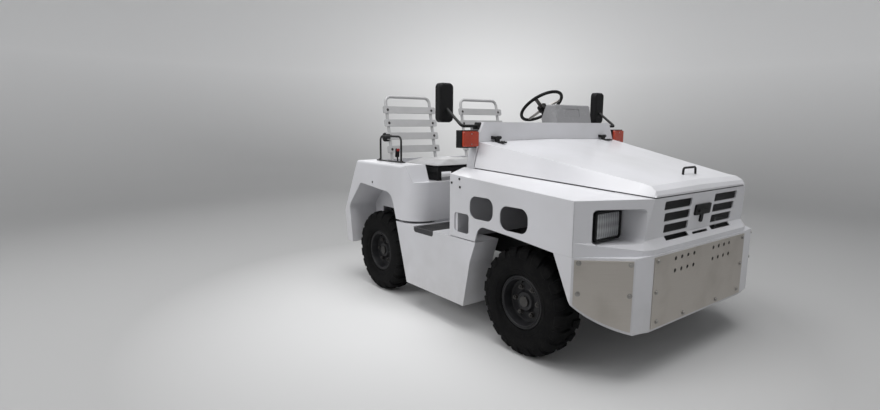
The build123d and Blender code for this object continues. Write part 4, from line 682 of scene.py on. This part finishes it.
def expanded_metal():
    """Slanted strands that cross into diamonds, in a flat frame behind the slots."""
    grid = bmesh.new()
    top, bottom = MESH_DROPS
    reach = (bottom - top) / STRAND_SLOPE
    count = int((2 * MESH_HALF_WIDTH + reach) / STRAND_PITCH)
    for way in (1, -1):
        for k in range(count + 1):
            start = -MESH_HALF_WIDTH - reach + k * STRAND_PITCH
            low_y, high_y = max(start, -MESH_HALF_WIDTH), min(start + reach, MESH_HALF_WIDTH)
            if high_y - low_y < 0.004:
                continue
            ends = [nose_point(way * y, top + (y - start) * STRAND_SLOPE, -MESH_DEPTH - way * 0.0004) for y in (low_y, high_y)]
            along = ends[1] - ends[0]
            add_box(grid, (ends[0] + ends[1]) / 2, (along.length, 0.0024, 0.0014),
                    frame_turn(along, NOSE_OUT.cross(along)))
    for drop in MESH_DROPS:
        add_box(grid, nose_point(0, drop, -MESH_DEPTH), (2 * MESH_HALF_WIDTH, 0.010, 0.0028),
                frame_turn(ASIDE, NOSE_DOWN), 0.0006)
    for y in (-MESH_HALF_WIDTH, MESH_HALF_WIDTH):
        add_box(grid, nose_point(y, sum(MESH_DROPS) / 2, -MESH_DEPTH), (bottom - top, 0.010, 0.0028),
                frame_turn(NOSE_DOWN, ASIDE), 0.0006)
    piece("expanded_metal", grid, "root", "black_mesh", replaces=("grille_mesh",))


expanded_metal()

LAMP_Y, LAMP_Z, LAMP_FACE_X = 0.625, 0.760, 1.142
LAMP_WIDTH, LAMP_HEIGHT = 0.200, 0.142


def ring_between(grid, sections):
    """A closed frame: section loops in order round its cross-section, the last joined to the first."""
    rings = [[grid.verts.new(p) for p in section] for section in sections]
    for low, high in zip(rings, rings[1:] + rings[:1]):
        for k in range(len(low)):
            j = (k + 1) % len(low)
            grid.faces.new((low[k], low[j], high[j], high[k]))


def headlight_fronts():
    """A rubber bezel round each sealed lamp, and its domed, fluted glass."""
    bezels, glasses = bmesh.new(), bmesh.new()
    for _, side in TWO_SIDES:
        def loop(width, height, corner, x):
            return [(LAMP_FACE_X + x, side * LAMP_Y + y, LAMP_Z + z) for y, z in rounded_outline(width, height, corner)]
        ring_between(bezels, [
            loop(LAMP_WIDTH + 0.004, LAMP_HEIGHT + 0.004, 0.020, -0.010),
            loop(LAMP_WIDTH + 0.004, LAMP_HEIGHT + 0.004, 0.020, 0.004),
            loop(LAMP_WIDTH - 0.002, LAMP_HEIGHT - 0.002, 0.017, 0.007),
            loop(LAMP_WIDTH - 0.018, LAMP_HEIGHT - 0.018, 0.012, 0.007),
            loop(LAMP_WIDTH - 0.022, LAMP_HEIGHT - 0.022, 0.011, 0.0008),
        ])
        add_loft(glasses, [loop(LAMP_WIDTH - 0.023, LAMP_HEIGHT - 0.023, 0.011, 0.0004)] + [
            loop((LAMP_WIDTH - 0.023) * share, (LAMP_HEIGHT - 0.023) * share, 0.011 * share, rise)
            for share, rise in ((1.0, 0.0030), (0.97, 0.0044), (0.85, 0.0062), (0.6, 0.0078), (0.3, 0.0086))
        ])
    piece("headlight_bezels", bezels, "root", "black_plastic")
    piece("headlight_glasses", glasses, "root", "lamp_glass", finish=HEADLIGHT_GLASS, sharp=50.0)


headlight_fronts()


# Fasteners on the bumper's plates and on the panels

def add_bolt(grid, foot, out, head=0.0085, washer=0.0125):
    """A hexagon head on a washer, standing out of a face."""
    foot, out = Vector(foot), Vector(out).normalized()
    add_rod(grid, foot - out * 0.0005, foot + out * 0.0016, washer, 20, 0.0005)
    add_rod(grid, foot, foot + out * 0.0075, head, 6, 0.0008)


CORNER_START, CORNER_END = Vector((1.097, 0.825, 0.0)), Vector((1.293, 0.605, 0.0))
PLATE_FACE_X = 1.310
PLATE_OUT = 0.004
FRONT_PLATE_BOLTS = ((0.450, 0.592), (0.450, 0.437), (0.431, 0.287), (0.176, 0.276))
CORNER_PLATE_BOLTS = ((0.032, 0.598), (0.033, 0.450), (0.270, 0.595), (0.271, 0.446))


def bumper_bolts():
    grid = bmesh.new()
    for _, side in TWO_SIDES:
        for y, z in FRONT_PLATE_BOLTS:
            add_bolt(grid, (PLATE_FACE_X, side * y, z), (1, 0, 0))
        along = (CORNER_END - CORNER_START).normalized()
        out = Vector((-along.y, along.x, 0.0))
        for reach, z in CORNER_PLATE_BOLTS:
            foot = CORNER_START + along * reach + out * PLATE_OUT + Vector((0, 0, z))
            add_bolt(grid, (foot.x, side * foot.y, foot.z), (out.x, side * out.y, 0.0))
    piece("bumper_bolts", grid, "root", "stainless", finish=DULL_STEEL)


bumper_bolts()

PLATE_HOLE_FLOOR_X = PLATE_FACE_X - PLATE_OUT
PLATE_HOLE_COLUMNS = (0.1035, 0.1645, 0.2255, 0.2865)
PLATE_HOLE_ROWS = (0.519, 0.581)


def hole_plugs():
    """Black rubber plugs at the bottom of the small holes in the front plate."""
    grid = bmesh.new()
    for _, side in TWO_SIDES:
        for y in PLATE_HOLE_COLUMNS:
            for z in PLATE_HOLE_ROWS:
                add_rod(grid, (PLATE_HOLE_FLOOR_X - 0.0005, side * y, z),
                        (PLATE_HOLE_FLOOR_X + 0.0015, side * y, z), 0.0106, 20, 0.0004)
    piece("hole_plugs", grid, "root", "black_plastic")


hole_plugs()

FLANK_SCREWS = ((-0.713, 0.809), (0.279, 0.917), (0.285, 0.870), (0.209, 0.890))


def panel_screws():
    """Small pan-head screws on the flanks, where the panels meet the frame."""
    grid = bmesh.new()
    for _, side in TWO_SIDES:
        for x, z in FLANK_SCREWS:
            add_rod(grid, (x, side * 0.8245, z), (x, side * 0.8283, z), 0.0075, 16, 0.0014)
    piece("panel_screws", grid, "root", "black_metal")


panel_screws()


# Steering wheel, dials and dash controls

WHEEL_CENTRE = Vector((-0.185, 0.375, 1.370))
COLUMN_LEAN = radians(52.0)
COLUMN_AXIS = Vector((-cos(COLUMN_LEAN), 0.0, sin(COLUMN_LEAN)))
SPOKE_TURNS = (90.0, 210.0, 330.0)


def steering_trim():
    """Bright sleeves round the three spokes and a horn button on the hub."""
    grid = bmesh.new()
    for degrees in SPOKE_TURNS:
        way = Matrix.Rotation(radians(degrees), 3, COLUMN_AXIS) @ Vector((0, 1, 0))
        start = WHEEL_CENTRE - COLUMN_AXIS * 0.0235 + way * 0.022
        end = WHEEL_CENTRE + way * 0.163
        along = end - start
        side_on = COLUMN_AXIS.cross(along).normalized()
        add_box(grid, (start + end) / 2, (along.length, 0.0274, 0.0116), frame_turn(along, side_on), 0.003, 3)
    piece("wheel_spoke_sleeves", grid, "steering_wheel", "black_metal", finish=DULL_STEEL)
    grid = bmesh.new()
    top = WHEEL_CENTRE
    add_rod(grid, top - COLUMN_AXIS * 0.001, top + COLUMN_AXIS * 0.006, 0.031, 36, 0.003)
    add_rod(grid, top + COLUMN_AXIS * 0.004, top + COLUMN_AXIS * 0.0105, 0.020, 28, 0.0028)
    piece("horn_button", grid, "steering_wheel", "black_plastic")


steering_trim()

REAR_LOW, REAR_TOP = Vector((0.107, 0.235, 1.268)), Vector((0.147, 0.235, 1.365))
DIAL_UP = (REAR_TOP - REAR_LOW).normalized()
DIAL_OUT = Vector((-DIAL_UP.z, 0.0, DIAL_UP.x))
DIAL_DEPTH = -0.009 + 0.005
# Distance to the left of the middle, radius, needle's turn
DIALS = ((0.105, 0.034, 40.0), (0.020, 0.034, -70.0), (-0.052, 0.022, 15.0), (-0.112, 0.022, -35.0))


def dials():
    """Chrome rings, black faces with pale marks, and needles."""
    rings, faces, marks = bmesh.new(), bmesh.new(), bmesh.new()
    middle = (REAR_LOW + REAR_TOP) / 2
    for aside, radius, needle in DIALS:
        centre = middle + ASIDE * aside + DIAL_OUT * DIAL_DEPTH
        place = Matrix.Translation(centre) @ DIAL_OUT.to_track_quat("Y", "Z").to_matrix().to_4x4()
        add_lathe(rings, ((radius - 0.0042, 0.0), (radius, 0.0), (radius, 0.0028), (radius - 0.0016, 0.0042),
                          (radius - 0.0036, 0.0032)), place, 40)
        add_rod(faces, centre - DIAL_OUT * 0.0004, centre + DIAL_OUT * 0.0008, radius - 0.0038, 40)
        for k in range(11):
            a = radians(-130.0 + 26.0 * k)
            way = DIAL_UP * cos(a) + ASIDE * sin(a)
            length = 0.0062 if k % 5 == 0 else 0.0038
            add_box(marks, centre + way * (radius - 0.0055 - length / 2) + DIAL_OUT * 0.001, (length, 0.0011, 0.0006),
                    frame_turn(way, DIAL_OUT.cross(way)))
        a = radians(needle)
        way = DIAL_UP * cos(a) + ASIDE * sin(a)
        add_box(marks, centre + way * (radius * 0.3) + DIAL_OUT * 0.0016, (radius * 0.85, 0.0013, 0.0007),
                frame_turn(way, DIAL_OUT.cross(way)))
        add_rod(faces, centre, centre + DIAL_OUT * 0.0026, 0.0035, 16, 0.0006)
    piece("dial_rings", rings, "root", "grey_panel", finish=DULL_STEEL)
    piece("dial_faces", faces, "root", "black_plastic")
    piece("dial_marks", marks, "root", "grey_panel", finish=PALE_MARKS)


dials()


def dash_controls():
    """A key switch, two toggles and three knobs on the panel's left half, before the driver."""
    low, high = Vector((0.134, 0.0, 0.985)), Vector((0.122, 0.0, 1.213))
    up = (high - low).normalized()
    out = Vector((-up.z, 0.0, up.x))
    grid, metal = bmesh.new(), bmesh.new()
    for y, z in ((0.090, 1.150), (0.140, 1.150), (0.190, 1.150)):
        foot = low + up * ((z - low.z) / up.z) + ASIDE * y
        add_rod(grid, foot - out * 0.001, foot + out * 0.016, 0.0125, 20, 0.003, 0.0105)
    for y in (0.560, 0.590):
        foot = low + up * ((1.150 - low.z) / up.z) + ASIDE * y
        add_rod(metal, foot - out * 0.001, foot + out * 0.005, 0.0085, 6, 0.0006)
        add_rod(metal, foot, foot + out * 0.022 + up * 0.008, 0.0026, 12, 0.0008, 0.0036)
    foot = low + up * ((1.150 - low.z) / up.z) + ASIDE * 0.530
    add_rod(metal, foot - out * 0.001, foot + out * 0.007, 0.0125, 28, 0.0015)
    add_box(metal, foot + out * 0.020, (0.0016, 0.022, 0.026), frame_turn(ASIDE, out), 0.0006)
    piece("dash_knobs", grid, "root", "black_plastic")
    piece("key_and_toggles", metal, "root", "grey_panel", finish=DULL_STEEL)


dash_controls()


# Mirrors, turn lamps, tail lamps

MIRROR_X, MIRROR_Y, MIRROR_Z = 0.025, 0.756, 1.3575


def mirror_glasses():
    grid = bmesh.new()
    for _, side in TWO_SIDES:
        add_loft(grid, [[(MIRROR_X + x, side * MIRROR_Y + y, MIRROR_Z + z) for y, z in rounded_outline(w, h, 0.022)]
                        for x, w, h in ((0.0005, 0.094, 0.221), (-0.0018, 0.094, 0.221), (-0.0024, 0.090, 0.217))])
    piece("mirror_glasses", grid, "root", "black_plastic", finish=MIRROR_GLASS)


mirror_glasses()

TURN_LENS_X, TURN_Y, TURN_Z = 0.275, 0.732, 1.144


def turn_lamp_screws():
    """Two screws in each turn lamp's lens."""
    grid = bmesh.new()
    for _, side in TWO_SIDES:
        for z in (-0.030, 0.030):
            foot = Vector((TURN_LENS_X - 0.001, side * TURN_Y, TURN_Z + z))
            add_rod(grid, foot, foot + Vector((0.0024, 0, 0)), 0.0042, 14, 0.0008)
    piece("turn_lamp_screws", grid, "root", "black_metal", finish=DULL_STEEL)


turn_lamp_screws()


TAIL_FACE_X, TAIL_Y, TAIL_Z = -1.172, 0.690, 0.500
TAIL_WIDTH, TAIL_HEIGHT = 0.170, 0.090


def tail_lamp_trim():
    """A black rim round each tail lamp, bars between its three fields, and two screws."""
    grid, screws = bmesh.new(), bmesh.new()
    for _, side in TWO_SIDES:
        middle = Vector((TAIL_FACE_X - 0.0006, side * TAIL_Y, TAIL_Z))
        for z in (-TAIL_HEIGHT / 2, TAIL_HEIGHT / 2):
            add_box(grid, middle + Vector((0.004, 0, z)), (0.013, TAIL_WIDTH + 0.007, 0.007), None, 0.002)
        for y in (-TAIL_WIDTH / 2, TAIL_WIDTH / 2):
            add_box(grid, middle + Vector((0.004, y, 0)), (0.013, 0.007, TAIL_HEIGHT + 0.007), None, 0.002)
        for y in (-0.030, 0.028):
            add_box(grid, middle + Vector((0.0005, y, 0)), (0.004, 0.0035, TAIL_HEIGHT - 0.004), None, 0.0008)
        for y in (-0.058, 0.056):
            add_rod(screws, middle + Vector((0.001, y, 0)), middle + Vector((-0.0018, y, 0)), 0.0048, 16, 0.0009)
    piece("tail_lamp_rims", grid, "root", "black_plastic")
    piece("tail_lamp_screws", screws, "root", "red_lens", finish=DULL_STEEL)


tail_lamp_trim()

HITCH_PLATE_X = -1.128
HINGE_Y = 0.530
GUARD_Y, GUARD_BAR_TOP_Z = 0.700, 0.964


def frame_bolts():
    """Bolts of the hitch plate and of the arm guards' feet; those of the hood's hinge leaves ride on the hood."""
    grid, leaves = bmesh.new(), bmesh.new()
    for _, side in TWO_SIDES:
        for z in (0.352, 0.548):
            add_bolt(grid, (HITCH_PLATE_X, side * 0.168, z), (-1, 0, 0), 0.0125, 0.0175)
        for x in (-0.817, -0.504):
            add_bolt(grid, (x, side * GUARD_Y, GUARD_BAR_TOP_Z), (0, 0, 1), 0.0065, 0.0095)
        for shift in (-0.010, 0.010):
            foot = Vector((0.327, side * HINGE_Y + shift, 1.1278))
            add_rod(leaves, foot - Vector((0, 0, 0.001)), foot + Vector((0, 0, 0.0042)), 0.0052, 16, 0.0018)
    piece("frame_bolts", grid, "root", "chassis_paint", finish=WORN_STEEL)
    piece("hinge_leaf_screws", leaves, "hood", "black_metal", finish=WORN_STEEL)


frame_bolts()


# Floor mat: raised ribs across the step

MAT_TOP_Z = 0.560
MAT_X = (-0.175, 0.015)
MAT_REACH = 0.805


def mat_ribs():
    grid = bmesh.new()
    count = 9
    pitch = (MAT_X[1] - MAT_X[0]) / (count - 1)
    for k in range(count):
        add_box(grid, (MAT_X[0] + k * pitch, 0.0, MAT_TOP_Z + 0.0012), (0.0095, 2 * MAT_REACH, 0.0044), None, 0.0012)
    piece("mat_ribs", grid, "root", "floor_rubber")


mat_ribs()


# Stage, lights and camera

def backdrop():
    """A pale floor that curves up into a wall all round, with a painted pool of light on the floor round the machine.
    """
    grid = bmesh.new()
    floor_radius, bend, wall_top = 9.0, 3.0, 9.0
    profile = [(0.0, 0.0), (floor_radius - bend, 0.0)]
    profile += [(floor_radius - bend + bend * sin(a), bend * (1 - cos(a))) for a in (k * pi / 16 for k in range(1, 9))]
    profile.append((floor_radius, wall_top))
    verts = [grid.verts.new((r, 0.0, z)) for r, z in profile]
    edges = [grid.edges.new(pair) for pair in zip(verts, verts[1:])]
    bmesh.ops.spin(grid, geom=verts + edges, cent=(0, 0, 0), axis=(0, 0, 1), angle=2 * pi, steps=96, use_merge=True)
    bmesh.ops.remove_doubles(grid, verts=grid.verts, dist=1e-5)
    for face in grid.faces:
        face.smooth = True
    mesh = bpy.data.meshes.new("backdrop")
    grid.to_mesh(mesh)
    shape = bpy.data.objects.new("backdrop", mesh)
    bpy.context.collection.objects.link(shape)
    chalk = Finish("backdrop", Roughness=0.85)
    # Painted light: the floor is lighter close to the machine and darker further out; up the wall it goes over to an
    # even pale grey.
    away = chalk.node("VectorMath", {"operation": "DISTANCE"}, {0: chalk.place, 1: (-0.1, -0.5, 0.0)}, output="Value")
    floor_light_pool = chalk.mixed((0.80, 0.80, 0.80), (0.42, 0.42, 0.42), chalk.between(0.3, 2.1, away))
    chalk.feed("Base Color", chalk.mixed(floor_light_pool, (0.93, 0.93, 0.93), chalk.between(0.0, 2.4, chalk.axis("Z"))))
    mesh.materials.append(chalk.material)


def softbox(name, place, target, width, height, power):
    lamp = bpy.data.lights.new(name, "AREA")
    lamp.shape = "RECTANGLE"
    lamp.size, lamp.size_y = width, height
    lamp.energy = power
    holder = bpy.data.objects.new(name, lamp)
    holder.location = place
    holder.rotation_euler = (Vector(target) - Vector(place)).to_track_quat("-Z", "Y").to_euler()
    holder.visible_camera = False
    bpy.context.collection.objects.link(holder)


def studio_light():
    middle = (0.0, 0.0, 0.6)
    softbox("overhead", (0.6, -0.9, 5.2), middle, 5.0, 4.0, 240.0)
    softbox("right_side", (-1.6, -6.0, 3.4), middle, 4.0, 2.6, 96.0)
    softbox("front_fill", (6.0, 0.5, 2.6), middle, 3.0, 2.2, 15.0)
    softbox("back_fill", (-5.5, 2.5, 3.4), middle, 3.0, 2.2, 45.0)
    softbox("wall_glow", (-4.3, 3.75, 1.7), (-6.9, 6.1, 1.5), 1.4, 1.4, 44.0)
    world = bpy.data.worlds.new("pale_room")
    bpy.context.scene.world = world
    world.use_nodes = True
    sky = world.node_tree.nodes["Background"]
    sky.inputs["Color"].default_value = (0.9, 0.92, 0.95, 1.0)
    sky.inputs["Strength"].default_value = 0.29


def photo_camera():
    """The photograph's own view: place, aim and lens fitted to the machine's edges."""
    place = Vector((2.5774, -2.7345, 1.2303))
    turn, down, roll = 0.6559, 0.1547, -0.0055
    focal_pixels, image_width, sensor = 519.85, 880.0, 36.0
    level = Vector((-cos(turn), sin(turn), 0.0))
    across = Vector((sin(turn), cos(turn), 0.0))
    ahead = level * cos(down) - Vector((0, 0, sin(down)))
    under = ahead.cross(across)
    right = across * cos(roll) + under * sin(roll)
    below = under * cos(roll) - across * sin(roll)
    lens_data = bpy.data.cameras.new("photo_view")
    lens_data.sensor_width = sensor
    lens_data.lens = sensor * focal_pixels / image_width
    camera = bpy.data.objects.new("photo_view", lens_data)
    axes = Matrix((right, -below, -ahead)).transposed()
    camera.matrix_world = Matrix.Translation(place) @ axes.to_4x4()
    bpy.context.collection.objects.link(camera)
    bpy.context.scene.camera = camera


backdrop()
studio_light()
photo_camera()
bpy.context.scene.view_settings.view_transform = "Standard"
